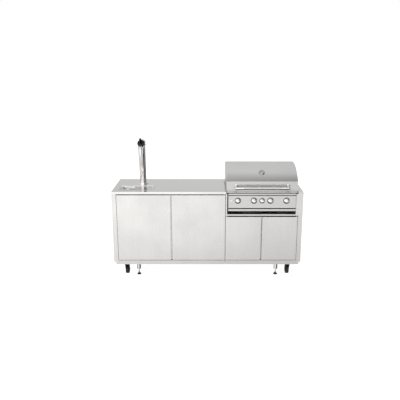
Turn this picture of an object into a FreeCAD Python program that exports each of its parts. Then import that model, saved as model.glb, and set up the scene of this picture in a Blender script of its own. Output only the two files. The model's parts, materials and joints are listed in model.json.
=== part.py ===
import FreeCAD, Part
import math
import os

# Outdoor kitchen island in stainless steel: a cabinet module with a beer tap and drip tray on the left, and a
# module with a built-in gas grill on the right. All sizes are in millimetres. X runs along the front from left to
# right, Y from front to back, and Z up from the floor. The origin is on the floor, below the middle of the island.

Vector = FreeCAD.Vector
X_AXIS = Vector(1, 0, 0)
Y_AXIS = Vector(0, 1, 0)
Z_AXIS = Vector(0, 0, 1)

# Carcass widths, along X
side_panel_w = 50.0
tall_door_pitch = 600.0
low_door_pitch = 400.0
body_depth = 650.0

# Carcass heights, from the floor up
ground_gap = 139.0
base_frame_h = 31.0
floor_pan_h = 20.0
door_bottom_gap = 3.0
tall_door_h = 753.0
finger_gap_h = 15.0
worktop_edge_h = 23.0

# Sheet metal
sheet_t = 2.0
worktop_lip_w = 25.0
wall_flange_w = 16.0
back_fold = 18.0
vent_w = 80.0
vent_h = 10.0
vent_pitch = 110.0
top_rail_drop = 60.0
top_rail_fold = 30.0
mid_rail_depth = 40.0

# Base frame, legs, feet and castors
base_end_inset = 20.0
base_face_inset = 8.0
base_rail_w = 110.0
seam_gap = 3.0
foot_inset = 270.0
castor_end_inset = 136.5
leg_tube_d = 45.0
leg_tube_h = 71.0
leg_tube_wall = 2.5
leg_plug_h = 6.0
foot_stem_d = 12.0
foot_stem_reach = 36.0
foot_pad_d = 46.0
foot_pad_h = 26.0
foot_rim_h = 7.0
foot_flare_h = 19.0
foot_neck_d = 18.0
castor_plate_w = 74.0
castor_plate_t = 4.0
kingpin_d = 14.0
kingpin_head_d = 20.0
kingpin_head_h = 5.0
castor_crown_h = 20.0
castor_crown_taper = 9.0
castor_crown_rim_z = 12.0
castor_trail = 28.0
wheel_d = 100.0
wheel_w = 38.0
wheel_lift = 1.5
wheel_hub_d = 20.0
wheel_web_w = 21.0
wheel_rim_r = 36.0
wheel_slope = 2.0
wheel_shoulder = 5.0
wheel_corner = 1.5
wheel_side_gap = 1.5
fork_t = 3.0
fork_foot_r = 14.0
fork_lead = 20.0
fork_rear = 28.0
axle_d = 10.0

# Doors and their pivots
door_t = 20.0
door_side_gap = 3.0
door_seam_gap = 4.0
door_middle_gap = 12.0
door_lip_w = 20.0
door_rib_w = 60.0
door_rib_depth = 12.0
door_edge_r = 1.5
pivot_inset = 14.0
pivot_depth = 7.0
pivot_pin_d = 6.0
pivot_shoulder_d = 10.0
pivot_engage = 12.0
pivot_block_w = 18.0
pivot_block_h = 16.0
door_swing_gap = 1.5

# Heights of the grill front, from the worktop surface down
ledge_rise = 11.0
ledge_face_h = 22.0
ledge_gap = 12.0
bullnose_h = 11.0
bullnose_out = 2.0
bullnose_r = 3.8
groove_h = 11.0
groove_depth = 24.0
panel_face_h = 137.0
tray_gap = 11.5
tray_front_h = 23.0
vent_slot_h = 37.0
mid_rail_h = 17.0
low_finger_gap_h = 13.5

# Grill widths and depths
hood_end_gap = 10.0
hood_side_gap = 3.0
hood_overhang = 28.0
panel_end_gap = 30.0
panel_flange = 28.0
jamb_gap = 3.0
cutout_depth = 540.0
flange_overlap = 10.0
flange_t = 2.0
flange_front = 36.0
firebox_front = 60.0
firebox_back_gap = 20.0
back_wall_rise = 111.0
ledge_slope = 25.0
ledge_lip_h = 3.0
ledge_depth = 40.0
ledge_foot = 12.0

# Inside of the firebox
grate_count = 3
grate_t = 10.0
grate_gap = 2.0
grate_rim = 14.0
grate_bar = 9.0
grate_slot = 11.0
grate_ledge_w = 15.0
tamer_drop = 50.0
tamer_w = 110.0
tamer_h = 25.0
tamer_ledge_w = 12.0
burner_d = 25.0
burner_bore = 17.0
burner_end_gap = 14.0
burner_ledge_w = 30.0
rear_burner_w = 500.0
rear_burner_h = 90.0
rear_burner_t = 24.0
rear_burner_rise = 11.0
rear_burner_rim = 12.0

# Grease tray, pulled out to the front
tray_back_gap = 30.0
tray_wall = 1.5
tray_lip = 12.0
tray_side_gap = 1.5
tray_grip = 14.0

# Knobs, valves and gas pipe
knob_drop = 98.0
knob_end_inset = 104.0
knob_inner_x = 90.0
knob_d = 60.0
knob_skirt_d = 62.0
knob_length = 28.0
knob_skirt_h = 3.0
knob_root_h = 5.0
knob_shoulder_d = 59.0
knob_shoulder_h = 19.0
knob_face_d = 42.0
small_knob_scale = 0.88
bezel_d = 69.0
bezel_t = 3.0
bezel_edge_h = 3.0
bezel_rim_h = 6.0
bezel_rim_w = 2.5
bezel_crown_w = 0.8
bezel_bore = 18.0
knob_gap = 1.2
knob_dome = 4.0
pointer_w = 2.5
pointer_depth = 1.2
pointer_start = 7.5
stem_d = 8.0
stem_engage = 15.0
panel_hole_d = 16.0
valve_w = 26.0
valve_h = 28.0
valve_depth = 30.0
valve_front = 25.0
valve_neck_d = 20.0
nozzle_d = 9.0
nozzle_reach = 12.0
manifold_d = 22.0
inlet_thread_d = 21.0
inlet_thread_h = 18.0
inlet_bore = 13.5
inlet_past_panel = 14.0
inlet_drop = 116.0
button_end_inset = 30.0
button_d = 14.0
button_edge = 1.0
button_stem_d = 10.0
button_h = 6.0
button_travel = 3.0
button_reach = 16.0
button_collar = 3.0

# Hood, its handle, thermometer and hinge
hood_h = 259.0
hood_gap = 2.0
hood_t = 2.0
hood_cap_t = 3.0
crease_y = 33.0
crease_z = 109.0
hood_foot_y = 32.0
crown_y = 380.0
hood_lip = 15.0
exhaust_h = 45.0
hinge_back_gap = 15.0
hinge_z = 28.0
hinge_pin_d = 10.0
bracket_r = 11.0
bracket_t = 4.0
bracket_gap = 3.0
bracket_clear = 2.0
handle_out = 35.0
handle_z = 45.0
handle_d = 24.0
handle_bar_d = 22.0
handle_length = 600.0
handle_end_l = 95.0
post_offset = 285.0
post_d = 16.0
handle_end_r = 5.0
handle_end_bevel = 1.5
gauge_y = 130.0
gauge_d = 61.0
gauge_h = 12.0
gauge_rim = 4.0
gauge_recess = 3.0
probe_d = 8.0
probe_l = 50.0

# Beer column, tap and drip tray
column_x = -744.0
column_y = 408.0
column_flange_d = 100.0
column_flange_h = 8.0
column_flange_edge = 4.8
column_flange_bevel = 3.2
column_foot_d = 72.0
column_head_d = 84.0
column_wall = 3.0
column_lean = 46.0
column_stations = 6
head_z = 483.0
head_proud = 1.0
line_hole_d = 44.0
badge_t = 14.0
badge_bevel = 2.0
badge_dome = 2.0
tap_clear = 30.0
tap_z = 432.0
shank_d = 16.0
tap_body_d = 28.0
tap_body_up = 16.0
tap_body_down = 12.0
spout_top_d = 20.0
spout_tip_d = 16.0
spout_z = 349.0
spout_bore = 9.0
ear_gap = 12.0
ear_t = 4.0
ear_r = 6.4
tap_pivot_up = 8.5
tap_pin_d = 6.0
tap_lean_deg = 19.0
tap_handle_l = 102.0
tap_stem_d = 9.0
grip_start = 22.0
grip_root_d = 18.0
grip_low_d = 22.0
grip_low = 30.0
grip_d = 26.0
grip_widest = 70.0
grip_top_d = 21.0
grip_dome = 6.0
eye_clear = 1.0
lever_hub_d = 14.0
lever_hub_w = 7.0
lever_pin_d = 6.0
lever_arm_d = 6.0
lever_arm_root = 4.2
lever_ball_d = 8.4
lever_out = 54.0
lever_up = 40.0
pan_x = -796.0
pan_front = 66.0
pan_w = 400.0
pan_d = 240.0
pan_rim = 10.0
pan_rim_t = 1.5
pan_wall = 2.0
pan_depth = 25.0
pan_step_z = 6.0
pan_step_w = 10.0
drain_d = 20.0
drain_bore = 16.0
drain_l = 30.0
drip_grate_t = 3.0
drip_slot_w = 4.0
drip_slot_pitch = 16.0
drip_slot_rim = 16.0
drip_slot_bridge = 8.0
rinser_from_left = 110.0
rinser_rear_gap = 1.5
rinser_d = 144.0
rinser_rim_w = 5.0
rinser_rim_h = 1.5
rinser_drop = 9.0
rinser_floor_d = 60.0
rinser_t = 2.0
rinser_nozzle_d = 16.0
rinser_nozzle_up = 2.0

# Clearances
running_gap = 0.05
seat_gap = 0.3
cut_past = 1.0

# Places worked out from the sizes above
body_width = 2 * side_panel_w + 2 * tall_door_pitch + 2 * low_door_pitch
x_left = -body_width / 2
x_right = body_width / 2
x_inner_left = x_left + side_panel_w
x_inner_right = x_right - side_panel_w
x_seam = x_inner_left + 2 * tall_door_pitch
x_tall_middle = x_inner_left + tall_door_pitch
x_grill = x_seam + low_door_pitch

handle_reach = handle_out + handle_d / 2
front = (handle_reach - body_depth) / 2
back = front + body_depth

z_base = ground_gap + base_frame_h
z_floor = z_base + floor_pan_h
z_door = z_floor + door_bottom_gap
z_tall_top = z_door + tall_door_h
z_edge = z_tall_top + finger_gap_h
z_top = z_edge + worktop_edge_h
z_ledge = z_top + ledge_rise
z_ledge_low = z_ledge - ledge_face_h
z_bull = z_ledge_low - ledge_gap
z_bull_low = z_bull - bullnose_h
z_panel = z_bull_low - groove_h
z_panel_low = z_panel - panel_face_h
z_tray = z_panel_low - tray_gap
z_tray_low = z_tray - tray_front_h
z_rail = z_tray_low - vent_slot_h
z_rail_low = z_rail - mid_rail_h
z_low_top = z_rail_low - low_finger_gap_h
z_knob = z_top - knob_drop

door_back = front + door_t
swing_clear = math.hypot(pivot_inset, door_t - pivot_depth) - (door_t - pivot_depth) + door_swing_gap
wall_front = door_back + swing_clear
leg_x = x_right - foot_inset
castor_x = x_right - castor_end_inset
leg_inset_y = base_face_inset + base_rail_w / 2
z_axle = wheel_lift + wheel_d / 2
z_crown = ground_gap - castor_plate_t - seat_gap
z_crown_low = z_crown - castor_crown_h
z_grate_seat = z_top + flange_t - grate_t - cut_past
z_tamer_seat = z_grate_seat - tamer_drop + grate_t
z_runner = z_tray_low
hood_w = 2 * (low_door_pitch - hood_end_gap)
firebox_w = hood_w - 2 * hood_overhang
panel_w = 2 * (low_door_pitch - panel_end_gap)
hood_back = cutout_depth
hinge_y = cutout_depth - hinge_back_gap
firebox_back = cutout_depth - firebox_back_gap
tray_depth = firebox_back - tray_back_gap
cutout_w = hood_w + 2 * hood_side_gap
knob_outer_x = panel_w / 2 - knob_end_inset
valve_neck_l = valve_front - sheet_t
x_button = x_grill - panel_w / 2 + button_end_inset
head_length = column_head_d + 2 * head_proud
head_front = column_y - column_lean - column_head_d / 2 - head_proud
tap_y = head_front - badge_t - tap_clear
grate_room = firebox_w - 2 * sheet_t


def block(x0, x1, y0, y1, z0, z1):
    """Rectangular solid between two corners."""
    return Part.makeBox(x1 - x0, y1 - y0, z1 - z0, Vector(x0, y0, z0))


def rod(x, y, z, axis, d, length):
    """Round bar of diameter d from a point along an axis."""
    return Part.makeCylinder(d / 2, length, Vector(x, y, z), axis)


def fuse(first, *others):
    """One solid out of pieces that touch or overlap."""
    return first.multiFuse(list(others)).removeSplitter()


def prism(points, direction):
    """Solid made by moving the closed outline through points along direction."""
    return Part.Face(Part.makePolygon(points + [points[0]])).extrude(direction)


def prism_x(outline, x0, x1):
    """Outline in (y, z) run along X."""
    return prism([Vector(x0, y, z) for y, z in outline], Vector(x1 - x0, 0, 0))


def prism_y(outline, y0, y1):
    """Outline in (x, z) run along Y."""
    return prism([Vector(x, y0, z) for x, z in outline], Vector(0, y1 - y0, 0))


def prism_z(outline, z0, z1):
    """Outline in (x, y) run along Z."""
    return prism([Vector(x, y, z0) for x, y in outline], Vector(0, 0, z1 - z0))


def folded(path, t):
    """Outline of a sheet of thickness t folded along path, with mitred corners, on the left side of the path."""
    normals = []
    for (a0, b0), (a1, b1) in zip(path, path[1:]):
        run = math.hypot(a1 - a0, b1 - b0)
        normals.append(((b0 - b1) / run, (a1 - a0) / run))
    offset = []
    for i, (a, b) in enumerate(path):
        n0 = normals[max(i - 1, 0)]
        n1 = normals[min(i, len(normals) - 1)]
        k = t / (1 + n0[0] * n1[0] + n0[1] * n1[1])
        offset.append((a + k * (n0[0] + n1[0]), b + k * (n0[1] + n1[1])))
    return path + offset[::-1]


def turned(profile, place, axis):
    """Solid of revolution: profile holds (radius, height) pairs, with height along axis from place."""
    points = [Vector(r, 0, h) for r, h in profile]
    shape = Part.Face(Part.makePolygon(points + [points[0]])).revolve(Vector(0, 0, 0), Z_AXIS, 360)
    shape.Placement = FreeCAD.Placement(place, FreeCAD.Rotation(Z_AXIS, axis))
    return shape


def domed(profile, rise, place, axis):
    """Solid of revolution whose last two profile points are joined by an arc that rises to the axis."""
    points = [Vector(r, 0, h) for r, h in profile]
    edge = points[-1]
    tip = Vector(0, 0, edge.z + rise)
    radius = (edge.x ** 2 + rise ** 2) / (2 * rise)
    half = math.asin(edge.x / radius) / 2
    middle = Vector(radius * math.sin(half), 0, tip.z - radius * (1 - math.cos(half)))
    edges = [Part.makeLine(a, b) for a, b in zip(points, points[1:])]
    edges.append(Part.Arc(edge, middle, tip).toShape())
    edges.append(Part.makeLine(tip, points[0]))
    shape = Part.Face(Part.Wire(edges)).revolve(Vector(0, 0, 0), Z_AXIS, 360)
    shape.Placement = FreeCAD.Placement(place, FreeCAD.Rotation(Z_AXIS, axis))
    return shape


def edges_at(shape, test):
    """Edges of shape whose every vertex passes the test."""
    return [e for e in shape.Edges if all(test(v.Point) for v in e.Vertexes)]


def near(a, b):
    """True where two lengths are the same within rounding."""
    return abs(a - b) < 1e-6


# Carcass


def worktop():
    """Folded worktop with a lip all round, cut away for the grill, the drip tray and the beer column."""
    lip = worktop_lip_w
    top = block(x_left, x_right, front, back, z_edge, z_top)
    room = block(x_left + sheet_t, x_right - sheet_t, front + sheet_t, back - sheet_t,
                 z_edge + sheet_t, z_top - sheet_t)
    under = block(x_left + lip, x_right - lip, front + lip, back - lip, z_edge - cut_past, z_edge + sheet_t)
    x0 = x_grill - cutout_w / 2
    x1 = x_grill + cutout_w / 2
    y1 = front + cutout_depth
    top = top.cut(room).cut(under)
    cheek = block(x0 - sheet_t, x1 + sheet_t, front, y1 + sheet_t, z_edge, z_top)
    bay = block(x0, x1, front - cut_past, y1, z_edge - cut_past, z_top + cut_past)
    top = fuse(top, cheek).cut(bay)
    inset = pan_rim - cut_past
    pan_hole = block(pan_x - pan_w / 2 + inset, pan_x + pan_w / 2 - inset, front + pan_front + inset,
                     front + pan_front + pan_d - inset, z_edge, z_top + cut_past)
    line_hole = rod(column_x, front + column_y, z_edge, Z_AXIS, line_hole_d, worktop_edge_h + cut_past)
    return top.cut(pan_hole).cut(line_hole).removeSplitter()


def side_panel(x0, x1):
    """Hollow end panel, closed on all sides but its top, which the worktop covers."""
    shell = block(x0, x1, front, back, z_base, z_edge)
    room = block(x0 + sheet_t, x1 - sheet_t, front + sheet_t, back - sheet_t, z_base + sheet_t, z_edge + cut_past)
    return shell.cut(room)


def jamb(x_face, side, width):
    """Folded jamb beside the grill front: side is +1 where it stands to the right of x_face."""
    x1 = x_face + side * width
    path = [(x1, door_back), (x1, front), (x_face, front), (x_face, door_back)]
    return prism_z(folded(path, -side * sheet_t), z_rail, z_edge)


def right_side_panel():
    """Right end panel with the jamb of the grill front folded on its inner skin."""
    return fuse(side_panel(x_inner_right, x_right), jamb(x_inner_right, -1, panel_end_gap - jamb_gap))


def module_wall(x_face, side):
    """Wall beside the seam: a sheet with a folded front flange that turns into its own module."""
    x_flange = x_face + side * wall_flange_w
    path = [(x_face, back - back_fold), (x_face, wall_front), (x_flange, wall_front)]
    return prism_z(folded(path, side * sheet_t), z_floor, z_edge)


def grill_module_wall():
    """Left wall of the grill module, with the jamb in front of it above the lower doors."""
    x_face = x_seam + seam_gap / 2
    post = jamb(x_face, 1, wall_flange_w)
    tab = block(x_face, x_face + sheet_t, front + sheet_t, wall_front + sheet_t, z_rail, z_edge)
    return fuse(module_wall(x_face, 1), post, tab)


def back_panel(x0, x1, vents):
    """Back sheet with folded side edges, and two rows of vent slots where vents is true."""
    path = [(x0, back - back_fold), (x0, back), (x1, back), (x1, back - back_fold)]
    sheet = prism_z(folded(path, -sheet_t), z_floor, z_edge)
    slots = []
    if vents:
        count = int((x1 - x0 - vent_pitch) // vent_pitch)
        start = (x0 + x1 - (count - 1) * vent_pitch - vent_w) / 2
        for z in (z_floor + vent_pitch, z_low_top - vent_pitch):
            for i in range(count):
                x = start + i * vent_pitch
                slots.append(block(x, x + vent_w, back - back_fold, back + cut_past, z, z + vent_h))
    return sheet.cut(slots) if slots else sheet


def floor_pan(x0, x1):
    """Cabinet floor with folded skirts, which show as the rail under the doors."""
    pan = block(x0, x1, front, back, z_base, z_floor)
    room = block(x0 + sheet_t, x1 - sheet_t, front + sheet_t, back - sheet_t, z_base - cut_past, z_floor - sheet_t)
    return pan.cut(room)


def top_front_rail():
    """Rail behind the finger gap over the tall doors, hung under the worktop."""
    y = wall_front + sheet_t
    z_low = z_edge - top_rail_drop
    path = [(y + top_rail_fold, z_edge), (y, z_edge), (y, z_low), (y + top_rail_fold, z_low)]
    return prism_x(folded(path, sheet_t), x_inner_left, x_seam - seam_gap / 2 - sheet_t)


def grill_mid_rail():
    """Rail between the open slot under the grill and the lower doors."""
    y = front + mid_rail_depth
    x0 = x_seam + seam_gap / 2 + wall_flange_w
    path = [(y, z_rail), (front, z_rail), (front, z_rail_low), (y, z_rail_low)]
    face = prism_x(folded(path, sheet_t), x_seam + seam_gap / 2, x_inner_right)
    notch = block(x_seam, x0, wall_front - cut_past / 2, back, z_rail_low - cut_past, z_rail + cut_past)
    return face.cut(notch)


def base_frame(x0, x1):
    """Welded base frame of inward channels, on which the cabinet stands."""
    y0 = front + base_face_inset
    y1 = back - base_face_inset
    w = base_rail_w
    ring = block(x0, x1, y0, y1, ground_gap, z_base)
    gap = block(x0 + w, x1 - w, y0 + w, y1 - w, ground_gap - cut_past, z_base + cut_past)
    channel = block(x0 + sheet_t, x1 - sheet_t, y0 + sheet_t, y1 - sheet_t, ground_gap + sheet_t, z_base - sheet_t)
    return ring.cut(gap).cut(channel)


# Legs, feet and castors


def corner_places(x_from_middle):
    """The four places at plus and minus x, over the middle of the front and rear base rails."""
    y_front = front + leg_inset_y
    y_back = back - leg_inset_y
    return [(-x_from_middle, y_front), (x_from_middle, y_front), (-x_from_middle, y_back), (x_from_middle, y_back)]


def leg_tube(x, y):
    """Round leg under the base frame, closed below by a plug that holds the foot's screw."""
    z0 = ground_gap - leg_tube_h
    tube = rod(x, y, z0, Z_AXIS, leg_tube_d, leg_tube_h)
    room = rod(x, y, z0 + leg_plug_h, Z_AXIS, leg_tube_d - 2 * leg_tube_wall, leg_tube_h)
    hole = rod(x, y, z0 - cut_past, Z_AXIS, foot_stem_d + 2 * running_gap, leg_tube_h)
    return tube.cut(room).cut(hole)


def levelling_foot(x, y):
    """Foot with a flared pad and a screw stem that runs up into the leg."""
    z_stem = ground_gap - leg_tube_h + foot_stem_reach
    profile = [(0, 0), (foot_pad_d / 2, 0), (foot_pad_d / 2, foot_rim_h), (foot_neck_d / 2, foot_flare_h),
               (foot_neck_d / 2, foot_pad_h), (foot_stem_d / 2, foot_pad_h), (foot_stem_d / 2, z_stem), (0, z_stem)]
    return turned(profile, Vector(x, y, 0), Z_AXIS)


def castor_plate(x, y):
    """Castor top plate with its kingpin and the head that holds the fork."""
    half = castor_plate_w / 2
    plate = block(x - half, x + half, y - half, y + half, ground_gap - castor_plate_t, ground_gap)
    pin_l = seat_gap + castor_crown_h + seat_gap
    z0 = ground_gap - castor_plate_t - pin_l
    pin = rod(x, y, z0 - kingpin_head_h, Z_AXIS, kingpin_d, pin_l + kingpin_head_h)
    head = rod(x, y, z0 - kingpin_head_h, Z_AXIS, kingpin_head_d, kingpin_head_h)
    return fuse(plate, pin, head)


def inward(y):
    """+1 where the middle of the island lies towards the back from y, and -1 where it lies towards the front."""
    return 1 if y < (front + back) / 2 else -1


def castor_fork(x, y):
    """Swivelling fork: a crown round the kingpin, two tapered legs and the axle, trailing inwards."""
    r = castor_plate_w / 2
    profile = [(kingpin_d / 2 + running_gap, 0), (r - castor_crown_taper, 0), (r, castor_crown_rim_z),
               (r, castor_crown_h), (kingpin_d / 2 + running_gap, castor_crown_h)]
    crown = turned(profile, Vector(x, y, z_crown_low), Z_AXIS)
    x_leg = wheel_w / 2 + wheel_side_gap
    side_y = inward(y)
    y_axle = y + side_y * castor_trail
    legs = []
    for side in (-1, 1):
        x0 = x + side * x_leg - (fork_t if side < 0 else 0)
        outline = [(y - side_y * fork_lead, z_crown_low + fork_t), (y + side_y * fork_rear, z_crown_low + fork_t),
                   (y_axle + side_y * fork_foot_r, z_axle), (y_axle - side_y * fork_foot_r, z_axle)]
        legs.append(prism_x(outline, x0, x0 + fork_t))
        legs.append(rod(x0, y_axle, z_axle, X_AXIS, 2 * fork_foot_r, fork_t))
    axle_l = 2 * (x_leg + fork_t) + 2 * fork_t
    axle = rod(x - axle_l / 2, y_axle, z_axle, X_AXIS, axle_d, axle_l)
    return fuse(crown, axle, *legs)


def castor_wheel(x, y):
    """Wheel with a rounded tread, a dished side and a hub round the axle."""
    r = wheel_d / 2
    half = wheel_w / 2
    bore = axle_d / 2 + running_gap
    hub = wheel_hub_d / 2
    web = wheel_web_w / 2
    one_side = [(bore, half), (hub, half), (hub + wheel_slope, web), (wheel_rim_r - wheel_slope, web),
                (wheel_rim_r, half - wheel_slope / 2), (r - wheel_shoulder, half),
                (r - wheel_corner, half - wheel_corner), (r, half - wheel_shoulder)]
    other = [(radius, -h) for radius, h in reversed(one_side)]
    return turned(one_side + other, Vector(x, y + inward(y) * castor_trail, z_axle), X_AXIS)


# Doors


def door(x0, x1, z1, pivot_x):
    """Folded door pan with lips, a stiffening rib and a pivot block at the top and bottom of its hinge side."""
    z0 = z_door
    y0 = front
    y1 = door_back
    skin = block(x0, x1, y0, y1, z0, z1)
    skin = skin.makeFillet(door_edge_r, edges_at(skin, lambda p: near(p.y, y0)))
    room = block(x0 + sheet_t, x1 - sheet_t, y0 + sheet_t, y1 - sheet_t, z0 + sheet_t, z1 - sheet_t)
    mouth = block(x0 + door_lip_w, x1 - door_lip_w, y1 - 2 * sheet_t, y1 + cut_past,
                  z0 + door_lip_w, z1 - door_lip_w)
    pan = skin.cut(room).cut(mouth)
    xm = (x0 + x1) / 2
    rib = block(xm - door_rib_w / 2, xm + door_rib_w / 2, y0 + sheet_t, y0 + sheet_t + door_rib_depth,
                z0 + sheet_t, z1 - sheet_t)
    rib_room = block(xm - door_rib_w / 2 + sheet_t, xm + door_rib_w / 2 - sheet_t, y0 + sheet_t,
                     y0 + door_rib_depth, z0 + sheet_t, z1 - sheet_t)
    blocks = []
    holes = []
    half = pivot_block_w / 2
    for z_low, z_hole in ((z0, z0 - cut_past), (z1 - pivot_block_h, z1 - pivot_block_h)):
        blocks.append(block(max(x0 + sheet_t, pivot_x - half), min(x1 - sheet_t, pivot_x + half), y0 + sheet_t,
                            y1 - sheet_t, max(z_low, z0 + sheet_t), min(z_low + pivot_block_h, z1 - sheet_t)))
        holes.append(rod(pivot_x, y0 + pivot_depth, z_hole, Z_AXIS, pivot_pin_d + 2 * running_gap,
                         pivot_block_h + cut_past))
    return fuse(pan, rib.cut(rib_room), *blocks).cut(holes)


def pivot_pin(x, z_seat, z_door_edge):
    """Shouldered pin from a seat to the door, where z_seat is above the door's top or below its bottom."""
    up = 1 if z_door_edge > z_seat else -1
    shoulder = abs(z_door_edge - z_seat) - seat_gap
    length = abs(z_door_edge - z_seat) + pivot_engage
    profile = [(0, 0), (pivot_shoulder_d / 2, 0), (pivot_shoulder_d / 2, shoulder), (pivot_pin_d / 2, shoulder),
               (pivot_pin_d / 2, length), (0, length)]
    return turned(profile, Vector(x, front + pivot_depth, z_seat), Vector(0, 0, up))


# Each door: left edge, right edge, top, pivot place, and the underside that its top pin hangs from
tall_left_x0 = x_inner_left + door_side_gap
tall_left_x1 = x_tall_middle - door_middle_gap / 2
tall_right_x0 = x_tall_middle + door_middle_gap / 2
tall_right_x1 = x_seam - door_seam_gap / 2
low_left_x0 = x_seam + door_seam_gap / 2
low_left_x1 = x_grill - door_middle_gap / 2
low_right_x0 = x_grill + door_middle_gap / 2
low_right_x1 = x_inner_right - door_side_gap
doors = {
    "left_door": (tall_left_x0, tall_left_x1, z_tall_top, tall_left_x0 + pivot_inset, z_edge),
    "middle_door": (tall_right_x0, tall_right_x1, z_tall_top, tall_right_x1 - pivot_inset, z_edge),
    "lower_left_door": (low_left_x0, low_left_x1, z_low_top, low_left_x0 + pivot_inset, z_rail_low),
    "lower_right_door": (low_right_x0, low_right_x1, z_low_top, low_right_x1 - pivot_inset, z_rail_low),
}


# Grill


def firebox():
    """Sheet firebox with a top flange on the worktop, ledges for grates and burners, and tray runners below."""
    x0 = x_grill - firebox_w / 2
    x1 = x_grill + firebox_w / 2
    y0 = front + firebox_front
    y1 = front + firebox_back
    z1 = z_top + flange_t
    t = sheet_t
    half_flange = cutout_w / 2 + flange_overlap
    flange = block(x_grill - half_flange, x_grill + half_flange, front + flange_front,
                   front + cutout_depth + flange_overlap, z_top, z1)
    walls = block(x0, x1, y0, y1, z_runner - t, z1)
    inside = block(x0 + t, x1 - t, y0 + t, y1 - t, z_runner, z1 + cut_past)
    underside = block(x0 + t + tray_lip, x1 - t - tray_lip, y0 - cut_past, y1 - t, z_runner - t - cut_past, z_runner)
    tray_way = block(x0 + t, x1 - t, y0 - cut_past, y0 + 2 * t, z_runner, z_panel_low)
    body = fuse(flange, walls).cut(inside).cut(underside).cut(tray_way)
    rise = block(x0, x1, y1 - t, y1, z1, z1 + back_wall_rise)
    ledges = [rise]
    for depth, z in ((grate_ledge_w, z_grate_seat), (tamer_ledge_w, z_tamer_seat)):
        ledges.append(block(x0 + t, x1 - t, y0 + t, y0 + t + depth, z - t, z))
        ledges.append(block(x0 + t, x1 - t, y1 - t - depth, y1 - t, z - t, z))
    z_burner = z_knob - burner_d / 2
    ledges.append(block(x0 + t, x1 - t, y1 - t - burner_ledge_w, y1 - t, z_burner - t, z_burner))
    holes = []
    for x in burner_places():
        holes.append(rod(x, y0 - cut_past, z_knob, Y_AXIS, burner_d + 2 * seat_gap, t + 2 * cut_past))
    return fuse(body, *ledges).cut(holes)


def burner_places():
    """X of the four burners, in line with the four large knobs."""
    offsets = (-knob_outer_x, -knob_inner_x, knob_inner_x, knob_outer_x)
    return [x_grill + offset for offset in offsets]


def tube_burner(x):
    """Tube burner with an open mouth at the valve and a closed far end."""
    y0 = front + firebox_front - cut_past
    length = firebox_back - firebox_front - burner_end_gap
    tube = rod(x, y0, z_knob, Y_AXIS, burner_d, length)
    return tube.cut(rod(x, y0 - cut_past, z_knob, Y_AXIS, burner_bore, length - burner_end_gap))


def flame_tamer(x):
    """Folded roof over one burner, resting on two ledges."""
    path = [(x - tamer_w / 2, z_tamer_seat), (x, z_tamer_seat + tamer_h), (x + tamer_w / 2, z_tamer_seat)]
    y0 = front + firebox_front + sheet_t + seat_gap
    y1 = front + firebox_back - sheet_t - seat_gap
    roof = prism_y(folded(path, sheet_t), y0, y1)
    return roof.cut(block(x - tamer_w, x + tamer_w, y0, y1, z_tamer_seat - tamer_h, z_tamer_seat))


def cooking_grate(index):
    """Cast grate with two rows of slots between its bars."""
    w = grate_room / grate_count - grate_gap
    x0 = x_grill - grate_room / 2 + index * (w + grate_gap) + grate_gap / 2
    y0 = front + firebox_front + sheet_t + seat_gap
    y1 = front + firebox_back - sheet_t - seat_gap
    ym = (y0 + y1) / 2
    plate = block(x0, x0 + w, y0, y1, z_grate_seat, z_grate_seat + grate_t)
    pitch = grate_bar + grate_slot
    count = int((w - grate_bar) // pitch)
    start = x0 + (w - count * pitch + grate_bar) / 2
    slots = []
    for i in range(count):
        x = start + i * pitch
        for a, b in ((y0 + grate_rim, ym - grate_bar / 2), (ym + grate_bar / 2, y1 - grate_rim)):
            slots.append(block(x, x + grate_slot, a, b, z_grate_seat - cut_past, z_grate_seat + grate_t + cut_past))
    return plate.cut(slots)


def rear_burner():
    """Flat burner on the raised back wall, with a sunken ceramic face."""
    y1 = front + firebox_back - sheet_t
    z0 = z_top + rear_burner_rise
    x0 = x_grill - rear_burner_w / 2
    x1 = x_grill + rear_burner_w / 2
    box = block(x0, x1, y1 - rear_burner_t, y1, z0, z0 + rear_burner_h)
    rim = rear_burner_rim
    face = block(x0 + rim, x1 - rim, y1 - rear_burner_t - cut_past, y1 - rear_burner_t + rim / 2,
                 z0 + rim, z0 + rear_burner_h - rim)
    return box.cut(face)


def front_ledge():
    """Folded ledge that slopes up to the closed hood's front edge."""
    z_foot = z_top + flange_t + sheet_t
    path = [(front, z_ledge_low), (front, z_ledge_low + ledge_lip_h), (front + ledge_slope, z_ledge),
            (front + ledge_depth, z_ledge), (front + ledge_depth, z_foot), (front + ledge_depth + ledge_foot, z_foot)]
    return prism_x(folded(path, -sheet_t), x_grill - hood_w / 2, x_grill + hood_w / 2)


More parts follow.
